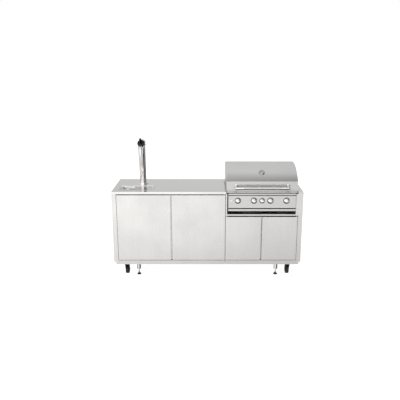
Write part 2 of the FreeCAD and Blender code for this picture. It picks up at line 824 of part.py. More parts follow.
def control_panel():
    """Folded control panel: bottom flange, face, sunken groove and rounded top edge, with closed ends."""
    y = front
    nose = y - bullnose_out
    y_back = y + panel_flange
    path = [(y_back, z_panel_low), (y, z_panel_low), (y, z_panel), (y + groove_depth, z_panel),
            (y + groove_depth, z_bull_low), (nose, z_bull_low), (nose, z_bull), (front + firebox_front, z_bull)]
    x0 = x_grill - panel_w / 2
    x1 = x_grill + panel_w / 2
    sheet = prism_x(folded(path, -sheet_t), x0, x1)
    nose_edges = edges_at(sheet, lambda p: near(p.y, nose))
    sheet = sheet.makeFillet(bullnose_r, [e for e in nose_edges if e.Length > panel_w / 2])
    end_outline = [(y_back, z_panel_low), (y, z_panel_low), (y, z_panel), (y + groove_depth, z_panel),
                   (y + groove_depth, z_bull), (y_back, z_bull)]
    ends = [prism_x(end_outline, x0, x0 + sheet_t), prism_x(end_outline, x1 - sheet_t, x1)]
    holes = []
    for x, scale in knob_places():
        holes.append(rod(x, front - cut_past, z_knob, Y_AXIS, panel_hole_d, sheet_t + 2 * cut_past))
    holes.append(rod(x_button, front - cut_past, z_knob, Y_AXIS, button_stem_d + 2 * running_gap,
                     sheet_t + 2 * cut_past))
    return fuse(sheet, *ends).cut(holes)


def knob_places():
    """X and size factor of the five knobs, from left to right."""
    places = [(x, 1.0) for x in burner_places()]
    return places[:2] + [(x_grill, small_knob_scale)] + places[2:]


def bezel(x, scale):
    """Plate behind one knob, with a raised rim round the knob's skirt."""
    r = bezel_d / 2 * scale
    rim = bezel_rim_w * scale
    crown = bezel_crown_w * scale
    profile = [(bezel_bore / 2, 0), (r, 0), (r, bezel_edge_h), (r - rim / 2 + crown / 2, bezel_rim_h),
               (r - rim / 2 - crown / 2, bezel_rim_h), (r - rim, bezel_t), (bezel_bore / 2, bezel_t)]
    return turned(profile, Vector(x, front, z_knob), -Y_AXIS)


def knob(x, scale):
    """Round knob with a skirt, a tapered grip, a domed face and a pointer groove."""
    skirt = knob_skirt_d / 2 * scale
    grip = knob_d / 2 * scale
    length = knob_length
    y0 = front - bezel_t - knob_gap
    profile = [(0, 0), (skirt, 0), (skirt, knob_skirt_h), (grip, knob_root_h),
               (knob_shoulder_d / 2 * scale, knob_shoulder_h), (knob_face_d / 2 * scale, length)]
    body = domed(profile, knob_dome * scale, Vector(x, y0, z_knob), -Y_AXIS)
    bore = rod(x, y0 + cut_past, z_knob, -Y_AXIS, stem_d + 2 * running_gap, stem_engage + 2 * cut_past)
    tip = y0 - length - knob_dome * scale
    groove = block(x - pointer_w / 2, x + pointer_w / 2, tip - cut_past, y0 - length + pointer_depth,
                   z_knob + pointer_start * scale, z_knob + knob_d)
    return body.cut(bore).cut(groove)


def gas_valve(x, to_burner):
    """Valve with a stem for its knob, and a nozzle that reaches into the burner's mouth."""
    y0 = front + valve_front
    z0 = z_knob - valve_h / 2
    body = block(x - valve_w / 2, x + valve_w / 2, y0, y0 + valve_depth, z0, z0 + valve_h)
    stem_tip = front - bezel_t - knob_gap - stem_engage
    stem = rod(x, stem_tip, z_knob, Y_AXIS, stem_d, y0 - stem_tip + cut_past)
    neck = rod(x, y0 - valve_neck_l, z_knob, Y_AXIS, valve_neck_d, valve_neck_l + cut_past)
    pieces = [stem, neck]
    if to_burner:
        pieces.append(rod(x, y0 + valve_depth - cut_past, z_knob, Y_AXIS, nozzle_d, nozzle_reach + cut_past))
    return fuse(body, *pieces)


def manifold_pipe():
    """Gas pipe under the valves, turned down past the right end of the panel to its threaded inlet."""
    y = front + valve_front + valve_depth / 2
    z = z_knob - valve_h / 2 - manifold_d / 2
    x0 = x_grill - knob_outer_x - valve_w
    x1 = x_grill + panel_w / 2 + inlet_past_panel
    run = rod(x0, y, z, X_AXIS, manifold_d, x1 - x0)
    elbow = Part.makeSphere(manifold_d / 2, Vector(x1, y, z))
    drop = rod(x1, y, z - inlet_drop + inlet_thread_h, Z_AXIS, manifold_d, inlet_drop - inlet_thread_h)
    thread = rod(x1, y, z - inlet_drop, Z_AXIS, inlet_thread_d, inlet_thread_h + cut_past)
    bore = rod(x1, y, z - inlet_drop - cut_past, Z_AXIS, inlet_bore, inlet_drop)
    return fuse(run, elbow, drop, thread).cut(bore)


def gas_manifold():
    """The gas pipe and the five valves on it, as separate solids."""
    valves = [gas_valve(x, scale == 1.0) for x, scale in knob_places()]
    return Part.makeCompound([manifold_pipe()] + valves)


def igniter_button():
    """Push button with a stem through the panel and a collar behind it."""
    y_head = front - button_travel - cut_past - button_h
    r = button_d / 2
    profile = [(0, 0), (r - button_edge, 0), (r, button_edge), (r, button_h), (button_stem_d / 2, button_h),
               (button_stem_d / 2, button_h + button_reach), (0, button_h + button_reach)]
    head = turned(profile, Vector(x_button, y_head, z_knob), Y_AXIS)
    collar_y = front + sheet_t + seat_gap
    collar = rod(x_button, collar_y, z_knob, Y_AXIS, button_stem_d + button_collar, button_collar)
    return fuse(head, collar)


def grease_tray():
    """Pull-out tray with a front strip folded back below as a finger grip."""
    x0 = x_grill - firebox_w / 2 + sheet_t + tray_side_gap
    x1 = x_grill + firebox_w / 2 - sheet_t - tray_side_gap
    y0 = front + sheet_t
    y1 = front + tray_depth
    z0 = z_runner + seat_gap
    z1 = z_tray - sheet_t
    t = tray_wall
    pan = block(x0, x1, y0, y1, z0, z1).cut(block(x0 + t, x1 - t, y0 + t, y1 - t, z0 + t, z1 + cut_past))
    path = [(front + tray_grip, z_tray_low), (front, z_tray_low), (front, z_tray)]
    strip = prism_x(folded(path, -sheet_t), x_grill - panel_w / 2, x_grill + panel_w / 2)
    return fuse(pan, strip)


# Hood


def hood_points():
    """Corner points and arc of the hood's side outline, as (depth from the front, height over the worktop)."""
    z_low = ledge_rise + hood_gap
    run = crown_y - crease_y
    centre_z = (run ** 2 + crease_z ** 2 - hood_h ** 2) / (2 * (crease_z - hood_h))
    radius = hood_h - centre_z
    return z_low, centre_z, radius


def hood_form(inset, x0, x1, z_low):
    """Solid with the hood's side outline drawn in by inset, between x0 and x1."""
    low, centre_z, radius = hood_points()
    r = radius - inset
    band_run = math.hypot(crease_y - hood_foot_y, crease_z - low)
    shift = inset * band_run / (crease_z - low)
    slope = (crease_y - hood_foot_y) / (crease_z - low)
    foot = (hood_foot_y + shift + (z_low - low) * slope, z_low)
    crease_angle = math.atan2(crease_z - centre_z, crease_y - crown_y)
    crease = (crown_y + r * math.cos(crease_angle), centre_z + r * math.sin(crease_angle))
    rear = hood_back - inset
    rear_top = (rear, centre_z + math.sqrt(r ** 2 - (rear - crown_y) ** 2))

    def place(point):
        return Vector(x0, front + point[0], z_top + point[1])

    edges = [
        Part.makeLine(place(foot), place(crease)),
        Part.Arc(place(crease), place((crown_y, centre_z + r)), place(rear_top)).toShape(),
        Part.makeLine(place(rear_top), place((rear, z_low))),
        Part.makeLine(place((rear, z_low)), place(foot)),
    ]
    return Part.Face(Part.Wire(edges)).extrude(Vector(x1 - x0, 0, 0))


def hood_shell():
    """Rolled hood skin with end caps, a folded front lip, an exhaust slot behind and holes for its hinge pins."""
    x0 = x_grill - hood_w / 2
    x1 = x_grill + hood_w / 2
    low = ledge_rise + hood_gap
    skin = hood_form(0, x0, x1, low)
    room = hood_form(hood_t, x0 + hood_cap_t, x1 - hood_cap_t, low - hood_t)
    y_back = front + hood_back
    slot = block(x0 + hood_cap_t, x1 - hood_cap_t, y_back - 2 * hood_t, y_back + cut_past, z_top + low - cut_past,
                 z_top + exhaust_h)
    lip = block(x0 + hood_cap_t, x1 - hood_cap_t, front + hood_foot_y + hood_t, front + hood_foot_y + hood_lip,
                z_top + low, z_top + low + hood_t)
    pin_hole = rod(x0 - cut_past, front + hinge_y, z_top + hinge_z, X_AXIS, hinge_pin_d + 2 * running_gap,
                   hood_w + 2 * cut_past)
    place, direction = gauge_place()
    probe_hole = Part.makeCylinder(probe_d / 2 + seat_gap, 6 * hood_t, place - direction * 3 * hood_t, direction)
    return fuse(skin.cut(room).cut(slot), lip).cut(pin_hole).cut(probe_hole)


def gauge_place():
    """Point on the hood's skin where the thermometer sits, and the outward direction there."""
    low, centre_z, radius = hood_points()
    z = centre_z + math.sqrt(radius ** 2 - (gauge_y - crown_y) ** 2)
    direction = Vector(0, (gauge_y - crown_y) / radius, (z - centre_z) / radius)
    return Vector(x_grill, front + gauge_y, z_top + z), direction


def thermometer():
    """Round case with a raised rim and a probe through the hood."""
    place, direction = gauge_place()
    r = gauge_d / 2
    sunk = gauge_h / 2
    profile = [(0, -sunk), (r, -sunk), (r, gauge_h - gauge_rim / 2), (r - gauge_rim / 2, gauge_h),
               (r - gauge_rim, gauge_h), (r - gauge_rim, gauge_h - gauge_recess), (0, gauge_h - gauge_recess)]
    case = turned(profile, place, direction)
    skin = hood_form(0, x_grill - gauge_d, x_grill + gauge_d, ledge_rise + hood_gap)
    probe = Part.makeCylinder(probe_d / 2, probe_l + gauge_h / 2, place - direction * probe_l, direction)
    return fuse(case.cut(skin), probe)


def handle_bar():
    """Brushed middle of the hood handle."""
    half = handle_length / 2 - handle_end_l
    return rod(x_grill - half, front - handle_out, z_top + handle_z, X_AXIS, handle_bar_d, 2 * half)


def handle_end(side):
    """Polished end of the hood handle with its post, where side is -1 for left and +1 for right."""
    y = front - handle_out
    z = z_top + handle_z
    inner = handle_length / 2 - handle_end_l
    outer = handle_length / 2
    x_start = x_grill + side * inner
    profile = [(0, 0), (handle_d / 2, 0), (handle_d / 2, outer - inner - handle_end_r),
               (handle_d / 2 - handle_end_bevel, outer - inner - handle_end_bevel),
               (handle_d / 2 - handle_end_r, outer - inner), (0, outer - inner)]
    sleeve = turned(profile, Vector(x_start, y, z), X_AXIS * side)
    post = rod(x_grill + side * post_offset, y, z, Y_AXIS, post_d, handle_out + crease_y)
    skin = hood_form(0, x_grill - handle_length, x_grill + handle_length, ledge_rise + hood_gap)
    return fuse(sleeve, post.cut(skin))


def hinge_bracket(side):
    """Standing bracket on the firebox flange with the pin that one side of the hood turns on."""
    x_cap = x_grill + side * (hood_w / 2 - hood_cap_t)
    x_out = x_cap - side * bracket_gap
    x_in = x_out - side * bracket_t
    y = front + hinge_y
    z0 = z_top + flange_t
    z = z_top + hinge_z
    xa, xb = min(x_in, x_out), max(x_in, x_out)
    plate = block(xa, xb, y - bracket_r, y + bracket_r, z0, z)
    eye = rod(xa, y, z, X_AXIS, 2 * bracket_r, bracket_t)
    xf = x_grill + side * (firebox_w / 2 + bracket_clear)
    foot = block(min(xf, x_in), max(xf, x_in), y - bracket_r, y + bracket_r, z0, z0 + bracket_t)
    pin_l = bracket_t + bracket_gap + hood_cap_t - seat_gap
    pin = rod(x_in, y, z, X_AXIS * side, hinge_pin_d, pin_l)
    return fuse(plate, eye, foot, pin)


# Beer column, tap and drip tray


def column_form(inset, z_low, z_high):
    """Column body that leans forward in a gentle S, drawn in by inset."""
    rings = []
    for i in range(column_stations):
        s = i / (column_stations - 1)
        z = z_low + (z_high - z_low) * s
        share = z / head_z
        y = front + column_y - column_lean * (3 * share ** 2 - 2 * share ** 3)
        r = (column_foot_d + (column_head_d - column_foot_d) * share) / 2 - inset
        rings.append(Part.Wire(Part.makeCircle(r, Vector(column_x, y, z_top + z), Z_AXIS)))
    return Part.makeLoft(rings, True, False)


def beer_column():
    """Hollow leaning column on a round flange, with a round head across its top."""
    flange = turned([(0, 0), (column_flange_d / 2, 0), (column_flange_d / 2, column_flange_edge),
                     (column_flange_d / 2 - column_flange_bevel, column_flange_h), (0, column_flange_h)],
                    Vector(column_x, front + column_y, z_top), Z_AXIS)
    head = rod(column_x, front + head_front, z_top + head_z, Y_AXIS, column_head_d, head_length)
    body = fuse(flange, column_form(0, column_flange_edge, head_z), head)
    room = column_form(column_wall, column_flange_h, tap_z)
    hole = rod(column_x, front + column_y, z_top - cut_past, Z_AXIS, line_hole_d, column_flange_h + 2 * cut_past)
    return body.cut(room).cut(hole)


def tap_badge():
    """Plain black disc on the front of the column's head."""
    r = column_head_d / 2
    profile = [(0, 0), (r, 0), (r, badge_t - badge_bevel - badge_dome), (r - badge_bevel, badge_t - badge_dome)]
    place = Vector(column_x, front + head_front, z_top + head_z)
    return domed(profile, badge_dome, place, -Y_AXIS)


def tap_body():
    """Shank, faucet body and spout, with two ears and a pin for the handle and a side pin for the flow lever."""
    y = front + tap_y
    z = z_top + tap_z
    shank = rod(column_x, y, z, Y_AXIS, shank_d, column_y - tap_y)
    shank = shank.cut(column_form(0, column_flange_h, head_z))
    reach = [s for s in shank.Solids if s.BoundBox.YMin < y + tap_body_d]
    body = rod(column_x, y, z - tap_body_down, Z_AXIS, tap_body_d, tap_body_up + tap_body_down)
    z_spout = z_top + spout_z
    spout_l = z - tap_body_down - z_spout
    spout = Part.makeCone(spout_tip_d / 2, spout_top_d / 2, spout_l, Vector(column_x, y, z_spout), Z_AXIS)
    bore = rod(column_x, y, z_spout - cut_past, Z_AXIS, spout_bore, spout_l)
    z_ear = z + tap_body_up
    z_pin = z_ear + tap_pivot_up
    ears = []
    for side in (-1, 1):
        x0 = column_x + side * ear_gap / 2 - (ear_t if side < 0 else 0)
        ears.append(block(x0, x0 + ear_t, y - ear_r, y + ear_r, z_ear - cut_past, z_pin))
        ears.append(rod(x0, y, z_pin, X_AXIS, 2 * ear_r, ear_t))
    pin = rod(column_x - ear_gap / 2 - ear_t, y, z_pin, X_AXIS, tap_pin_d, ear_gap + 2 * ear_t)
    lever_pin = rod(column_x, y, z, X_AXIS, lever_pin_d, tap_body_d / 2 + lever_hub_w + 2 * seat_gap + sheet_t)
    return fuse(body, reach[0], spout, pin, lever_pin, *ears).cut(bore)


def tap_handle():
    """Handle with an eye between the tap's ears, a neck and a swelling black grip."""
    z_pin = z_top + tap_z + tap_body_up + tap_pivot_up
    eye_w = ear_gap - 2 * seat_gap
    eye = rod(column_x - eye_w / 2, front + tap_y, z_pin, X_AXIS, 2 * (tap_pivot_up - eye_clear), eye_w)
    lean = math.radians(tap_lean_deg)
    direction = Vector(0, -math.sin(lean), math.cos(lean))
    stem = tap_stem_d / 2
    profile = [(0, 0), (stem, 0), (stem, grip_start), (grip_root_d / 2, grip_start), (grip_low_d / 2, grip_low),
               (grip_d / 2, grip_widest), (grip_top_d / 2, tap_handle_l - grip_dome)]
    grip = domed(profile, grip_dome, Vector(column_x, front + tap_y, z_pin), direction)
    hole = rod(column_x - ear_gap, front + tap_y, z_pin, X_AXIS, tap_pin_d + 2 * running_gap, 2 * ear_gap)
    return fuse(eye, grip).cut(hole)


def flow_lever():
    """Small side lever on the tap, with a hub round its pin and a bent arm."""
    x0 = column_x + tap_body_d / 2 + seat_gap
    y = front + tap_y
    z = z_top + tap_z
    hub = rod(x0, y, z, X_AXIS, lever_hub_d, lever_hub_w)
    start = Vector(x0 + lever_hub_w / 2, y, z + lever_arm_root)
    end = Vector(column_x + lever_out, y, z + lever_up)
    way = end - start
    arm = Part.makeCylinder(lever_arm_d / 2, way.Length, start, way)
    ball = Part.makeSphere(lever_ball_d / 2, end)
    hole = rod(x0 - cut_past, y, z, X_AXIS, lever_pin_d + 2 * running_gap, lever_hub_w + 2 * cut_past)
    return fuse(hub, arm, ball).cut(hole)


def pan_sides(inset):
    """X and Y limits of the drip pan drawn in by inset from its rim."""
    return (pan_x - pan_w / 2 + inset, pan_x + pan_w / 2 - inset, front + pan_front + inset,
            front + pan_front + pan_d - inset)


def drip_pan():
    """Pressed drip pan: a rim on the worktop, a step for the grating, and a drain spigot below."""
    z_step = z_top - pan_step_z
    z_bottom = z_top - pan_depth
    rim = block(*pan_sides(0), z_top, z_top + pan_rim_t)
    upper = block(*pan_sides(pan_rim), z_step - pan_wall, z_top)
    lower = block(*pan_sides(pan_rim + pan_step_w), z_bottom, z_step)
    seat_room = block(*pan_sides(pan_rim + pan_wall), z_step, z_top + pan_rim_t + cut_past)
    sump = block(*pan_sides(pan_rim + pan_wall + pan_step_w), z_bottom + pan_wall, z_step + cut_past)
    x = pan_x
    y = front + pan_front + pan_d / 2
    spigot = rod(x, y, z_bottom - drain_l, Z_AXIS, drain_d, drain_l + pan_wall)
    bore = rod(x, y, z_bottom - drain_l - cut_past, Z_AXIS, drain_bore, drain_l + 2 * pan_wall)
    return fuse(rim, upper, lower).cut(seat_room).cut(sump).fuse(spigot).cut(bore).removeSplitter()


def drip_grate():
    """Lift-out grating with two rows of slots and a round dish for rinsing glasses, lying on the drip pan's step."""
    x0, x1, y0, y1 = pan_sides(pan_rim + pan_wall + seat_gap)
    z0 = z_top - pan_step_z + seat_gap
    plate = block(x0, x1, y0, y1, z0, z0 + drip_grate_t)
    rim = drip_slot_rim
    count = int((x1 - x0 - 2 * rim + drip_slot_pitch - drip_slot_w) // drip_slot_pitch)
    start = (x0 + x1 - (count - 1) * drip_slot_pitch - drip_slot_w) / 2
    ym = (y0 + y1) / 2
    slots = []
    for i in range(count):
        x = start + i * drip_slot_pitch
        for a, b in ((y0 + rim, ym - drip_slot_bridge / 2), (ym + drip_slot_bridge / 2, y1 - rim)):
            slots.append(block(x, x + drip_slot_w, a, b, z0 - cut_past, z0 + drip_grate_t + cut_past))
    x = pan_x - pan_w / 2 + rinser_from_left
    r = rinser_d / 2
    y = pan_sides(pan_rim + pan_wall + pan_step_w)[3] - rinser_rear_gap - r
    low = -rinser_drop
    rim_top = drip_grate_t + rinser_rim_h
    floor = rinser_floor_d / 2
    nozzle = rinser_nozzle_d / 2
    profile = [(0, low), (floor, low), (r, 0), (r, rim_top), (r - rinser_rim_w, rim_top),
               (floor - rinser_t, low + rinser_t), (nozzle, low + rinser_t), (nozzle, rinser_nozzle_up),
               (0, rinser_nozzle_up)]
    dish = turned(profile, Vector(x, y, z0), Z_AXIS)
    hole = rod(x, y, z0 - cut_past, Z_AXIS, rinser_d - rinser_rim_w, drip_grate_t + 2 * cut_past)
    return fuse(plate.cut(slots).cut(hole), dish)


def build():
    """All the pieces, by name."""
    x_wall = x_seam - seam_gap / 2
    x_wall_right = x_seam + seam_gap / 2
    pieces = {
        "worktop": worktop(),
        "left_side_panel": side_panel(x_left, x_inner_left),
        "right_side_panel": right_side_panel(),
        "left_module_wall": module_wall(x_wall, -1),
        "grill_module_wall": grill_module_wall(),
        "left_back_panel": back_panel(x_inner_left, x_wall, False),
        "grill_back_panel": back_panel(x_wall_right, x_inner_right, True),
        "left_floor_pan": floor_pan(x_inner_left, x_wall),
        "grill_floor_pan": floor_pan(x_wall_right, x_inner_right),
        "top_front_rail": top_front_rail(),
        "grill_mid_rail": grill_mid_rail(),
        "left_base_frame": base_frame(x_left + base_end_inset, x_wall),
        "right_base_frame": base_frame(x_wall_right, x_right - base_end_inset),
        "leg_tubes": Part.makeCompound([leg_tube(x, y) for x, y in corner_places(leg_x)]),
        "castor_plates": Part.makeCompound([castor_plate(x, y) for x, y in corner_places(castor_x)]),
        "firebox": firebox(),
        "front_ledge": front_ledge(),
        "control_panel": control_panel(),
        "knob_bezels": Part.makeCompound([bezel(x, scale) for x, scale in knob_places()]),
        "gas_manifold": gas_manifold(),
        "burner_tubes": Part.makeCompound([tube_burner(x) for x in burner_places()]),
        "flame_tamers": Part.makeCompound([flame_tamer(x) for x in burner_places()]),
        "cooking_grates": Part.makeCompound([cooking_grate(i) for i in range(grate_count)]),
        "rear_burner": rear_burner(),
        "hood_hinge_brackets": Part.makeCompound([hinge_bracket(-1), hinge_bracket(1)]),
        "beer_column": beer_column(),
        "tap_badge": tap_badge(),
        "tap_body": tap_body(),
        "drip_pan": drip_pan(),
        "hood_shell": hood_shell(),
        "hood_handle_bar": handle_bar(),
        "hood_handle_ends": Part.makeCompound([handle_end(-1), handle_end(1)]),
        "thermometer": thermometer(),
        "igniter_button": igniter_button(),
        "grease_tray": grease_tray(),
        "tap_handle": tap_handle(),
        "flow_lever": flow_lever(),
        "drip_grate": drip_grate(),
    }
    pins = []
    for name, (x0, x1, z1, pivot_x, z_seat) in doors.items():
        pieces[name] = door(x0, x1, z1, pivot_x)
        pins.append(pivot_pin(pivot_x, z_floor, z_door))
        pins.append(pivot_pin(pivot_x, z_seat, z1))
    pieces["door_pivot_pins"] = Part.makeCompound(pins)
    for i, (x, scale) in enumerate(knob_places()):
        pieces["knob_" + str(i + 1)] = knob(x, scale)
    corners = ("front_left", "front_right", "back_left", "back_right")
    for corner, (x, y) in zip(corners, corner_places(castor_x)):
        pieces[corner + "_castor_fork"] = castor_fork(x, y)
        pieces[corner + "_wheel"] = castor_wheel(x, y)
    for corner, (x, y) in zip(corners, corner_places(leg_x)):
        pieces[corner + "_foot"] = levelling_foot(x, y)
    return pieces


os.makedirs("parts", exist_ok=True)
for node, shape in build().items():
    shape.exportStep("parts/" + node + ".step")
    print(node, len(shape.Solids), shape.isValid(), round(shape.Volume / 1000, 1))
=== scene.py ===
import json
import math

import bmesh
import bpy
from mathutils import Matrix, Vector


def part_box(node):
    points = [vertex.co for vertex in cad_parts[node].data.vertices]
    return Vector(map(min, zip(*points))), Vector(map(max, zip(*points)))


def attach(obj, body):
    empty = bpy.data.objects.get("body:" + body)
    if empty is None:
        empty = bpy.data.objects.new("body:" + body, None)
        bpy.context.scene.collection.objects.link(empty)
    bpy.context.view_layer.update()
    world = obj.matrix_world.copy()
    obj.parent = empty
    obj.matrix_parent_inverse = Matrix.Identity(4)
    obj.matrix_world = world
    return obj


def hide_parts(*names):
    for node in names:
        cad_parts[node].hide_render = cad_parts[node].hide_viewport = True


bl_info = {
    "name": "Outdoor Kitchen Island",
    "version": (1, 0, 0),
    "blender": (4, 5, 0),
    "location": "3D View > Sidebar > Island",
    "description": "Finishes a steel outdoor kitchen island with a beer column and a built-in grill",
    "category": "Add Mesh",
}

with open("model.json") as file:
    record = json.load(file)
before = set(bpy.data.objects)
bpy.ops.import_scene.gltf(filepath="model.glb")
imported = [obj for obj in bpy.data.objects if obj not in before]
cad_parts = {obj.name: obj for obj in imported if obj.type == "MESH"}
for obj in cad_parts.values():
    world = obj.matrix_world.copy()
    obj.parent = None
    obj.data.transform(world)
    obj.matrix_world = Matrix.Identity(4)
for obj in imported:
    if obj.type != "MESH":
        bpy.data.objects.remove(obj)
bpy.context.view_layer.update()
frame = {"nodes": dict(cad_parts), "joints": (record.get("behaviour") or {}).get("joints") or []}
mm = 0.001

# Places and names on the solids, in metres
door_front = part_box("left_door")[0].y
door_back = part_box("left_door")[1].y
worktop_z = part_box("worktop")[1].z
hood_low, hood_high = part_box("hood_shell")
grill_x = (hood_low.x + hood_high.x) / 2
knob_names = ["knob_" + str(i) for i in range(1, 6)]
corner_names = ["front_left", "front_right", "back_left", "back_right"]
column_x = sum(v.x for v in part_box("beer_column")) / 2
tap_axis_z = worktop_z + 432 * mm
foot_pad_top = 26 * mm

# The hood's front band, from the doors' front and the worktop, and where the handle's posts meet it
band_foot = Vector((0, 32, 13)) * mm
band_top = Vector((0, 33, 109)) * mm
handle_post_x = 285 * mm
handle_rose_z = 58 * mm

# The hood's roll, an arc through its crown and its crease, with the thermometer's place on it, in millimetres
roll_crown_y, roll_crown_z = 380.0, 259.0
roll_run, roll_crease_z = 347.0, 109.0
gauge_y = 130.0
dial_height = 9.0
dial_start, dial_sweep = math.radians(-135), math.radians(270)

# Studio levels, by share of the way from straight down over the horizon at 0.5 to straight up, and from
# left to right
floor_level = 1.0
sky_level = 1.6
front_levels = [
    (0.0, 0.02), (0.22, 0.04), (0.31, 0.17), (0.36, 0.58), (0.39, 0.9), (0.415, 1.36), (0.43, 1.04),
    (0.45, 0.84), (0.48, 0.7), (0.5, 0.76), (0.53, 1.2), (0.57, 1.6), (0.63, 1.6), (0.69, 1.2),
    (0.76, 0.42), (0.88, 0.32), (0.905, 0.42), (0.95, 0.53), (1.0, 0.57)]
front_across = [
    (0.0, 0.66), (0.1, 0.78), (0.36, 1.0), (0.47, 1.02), (0.53, 0.86), (0.6, 0.67), (0.65, 0.7),
    (0.7, 0.95), (0.74, 0.95), (0.79, 0.02), (0.93, 0.03), (0.965, 0.36), (1.0, 0.4)]
back_levels = [
    (0.0, 0.04), (0.22, 0.1), (0.36, 0.5), (0.42, 0.62), (0.46, 0.4), (0.5, 0.31), (0.56, 0.55),
    (0.74, 0.66), (0.9, 0.73), (1.0, 0.56)]
back_across = [
    (0.0, 0.8), (0.5, 0.98), (0.6, 0.98), (0.68, 0.35), (0.76, 0.16), (0.9, 0.22), (0.955, 0.38), (1.0, 0.4)]


def colour_setting(name, description, default):
    """Colour among the settings."""
    return bpy.props.FloatVectorProperty(
        name=name, description=description, subtype="COLOR", size=3, min=0, max=1, default=default)


def length_setting(name, description, default, **limits):
    """Length among the settings."""
    return bpy.props.FloatProperty(
        name=name, description=description, unit="LENGTH", default=default, **limits)


class IslandFinish(bpy.types.PropertyGroup):
    """Colours and grain of the island's finishes."""

    steel_colour: colour_setting("Steel", "Colour of the brushed sheet", (0.609, 0.594, 0.583))
    # The worktop is the same steel, set darker here as painted shade.
    worktop_colour: colour_setting("Worktop", "Colour of the worktop's sheet", (0.517, 0.514, 0.51))
    chrome_colour: colour_setting("Chrome", "Colour of the polished trim", (0.83, 0.835, 0.84))
    coating_colour: colour_setting("Black coating", "Colour of the castors' coating", (0.007, 0.007, 0.008))
    rubber_colour: colour_setting("Rubber", "Colour of the wheels and foot pads", (0.008, 0.008, 0.008))
    grain_pitch: length_setting("Grain pitch", "Distance between brush lines", 0.0012, min=0.0001, max=0.01)
    grain_length: length_setting("Grain length", "Length of the brush lines", 0.35, min=0.01, max=2)
    grain_depth: length_setting("Grain depth", "Depth of the brush lines", 0.00004, min=0, max=0.001)
    smudge: bpy.props.FloatProperty(
        name="Smudges", description="Share of the sheen that handling marks take", subtype="FACTOR",
        min=0, max=1, default=0.5)


class IslandFittings(bpy.types.PropertyGroup):
    """Sizes of the small fittings that the scene adds to the solids."""

    bolt_width: length_setting("Bolt width", "Width across the flats of the castors' bolts", 0.009)
    bumper_width: length_setting("Bumper width", "Diameter of the doors' rubber bumpers", 0.009)
    dial_marks: bpy.props.IntProperty(
        name="Dial marks", description="Number of marks on the thermometer's dial", min=7, max=91, default=37)


class IslandStage(bpy.types.PropertyGroup):
    """The camera and the studio."""

    lens: bpy.props.FloatProperty(
        name="Focal length", description="Focal length of the camera on a 36 mm sensor", unit="CAMERA",
        default=46.35)
    tilt: bpy.props.FloatProperty(
        name="Tilt", description="Angle that the camera looks down by", subtype="ANGLE",
        default=math.radians(14.9))
    eye_distance: length_setting("Eye distance", "Distance of the camera from the doors", 5.44)
    eye_height: length_setting("Eye height", "Height of the camera over the floor", 2.341)
    studio_light: bpy.props.FloatProperty(
        name="Studio light", description="Strength of the light from all round", min=0, max=10, default=1.0)


# Shader nodes


def new_group(name, label, value, *outputs):
    """Shader node group with one input; returns the group, the input's socket and the outputs' sockets."""
    group = bpy.data.node_groups.new(name, "ShaderNodeTree")
    kind = "NodeSocketVector" if isinstance(value, tuple) else "NodeSocketFloat"
    group.interface.new_socket(name=label, in_out="INPUT", socket_type=kind).default_value = value
    for output in outputs:
        group.interface.new_socket(name=output, in_out="OUTPUT", socket_type="NodeSocketFloat")
    return group, group.nodes.new("NodeGroupInput").outputs[0], group.nodes.new("NodeGroupOutput").inputs


def link(start, end):
    """Link between two sockets of one tree."""
    start.id_data.links.new(start, end)


def math_node(tree, operation, a, b=None, clamp=False):
    """Math node whose inputs are sockets or numbers; returns its output."""
    node = tree.nodes.new("ShaderNodeMath")
    node.operation = operation
    node.use_clamp = clamp
    for socket, value in zip(node.inputs, (a, b)):
        if isinstance(value, bpy.types.NodeSocket):
            link(value, socket)
        elif value is not None:
            socket.default_value = value
    return node.outputs[0]


def times(tree, a, b):
    """Product of two sockets or numbers."""
    return math_node(tree, "MULTIPLY", a, b)


def spread(tree, value, low, high, out_low=0.0, out_high=1.0):
    """Map Range node from low..high to out_low..out_high."""
    node = tree.nodes.new("ShaderNodeMapRange")
    link(value, node.inputs["Value"])
    node.inputs["From Min"].default_value = low
    node.inputs["From Max"].default_value = high
    node.inputs["To Min"].default_value = out_low
    node.inputs["To Max"].default_value = out_high
    return node.outputs["Result"]


def noise(tree, vector, scale, detail=3.0, roughness=0.55):
    """Noise texture over a vector; returns its value."""
    node = tree.nodes.new("ShaderNodeTexNoise")
    link(vector, node.inputs["Vector"])
    node.inputs["Scale"].default_value = scale
    node.inputs["Detail"].default_value = detail
    node.inputs["Roughness"].default_value = roughness
    return node.outputs["Fac"]


def place_vector(tree):
    """Coordinates fixed to the piece."""
    return tree.nodes.new("ShaderNodeTexCoord").outputs["Object"]


def split(tree, vector):
    """The X, Y and Z of a vector."""
    node = tree.nodes.new("ShaderNodeSeparateXYZ")
    link(vector, node.inputs[0])
    return node.outputs


def mix_colour(tree, share, a, b):
    """Mix of two colours, each a socket or a colour."""
    node = tree.nodes.new("ShaderNodeMix")
    node.data_type = "RGBA"
    colour_a, colour_b, colour_out = 6, 7, 2
    link(share, node.inputs["Factor"])
    for socket, value in ((node.inputs[colour_a], a), (node.inputs[colour_b], b)):
        if isinstance(value, bpy.types.NodeSocket):
            link(value, socket)
        else:
            socket.default_value = (*value, 1.0)
    return node.outputs[colour_out]


def ramp_through(tree, value, stops):
    """Soft ramp through (place, level) stops, with places from 0 to 1; returns the level."""
    node = tree.nodes.new("ShaderNodeValToRGB")
    node.color_ramp.interpolation = "EASE"
    for place, level in stops[1:-1]:
        node.color_ramp.elements.new(place)
    for element, (place, level) in zip(node.color_ramp.elements, stops):
        element.position = place
        element.color = (level, level, level, 1)
    link(value, node.inputs["Fac"])
    return node.outputs["Color"]


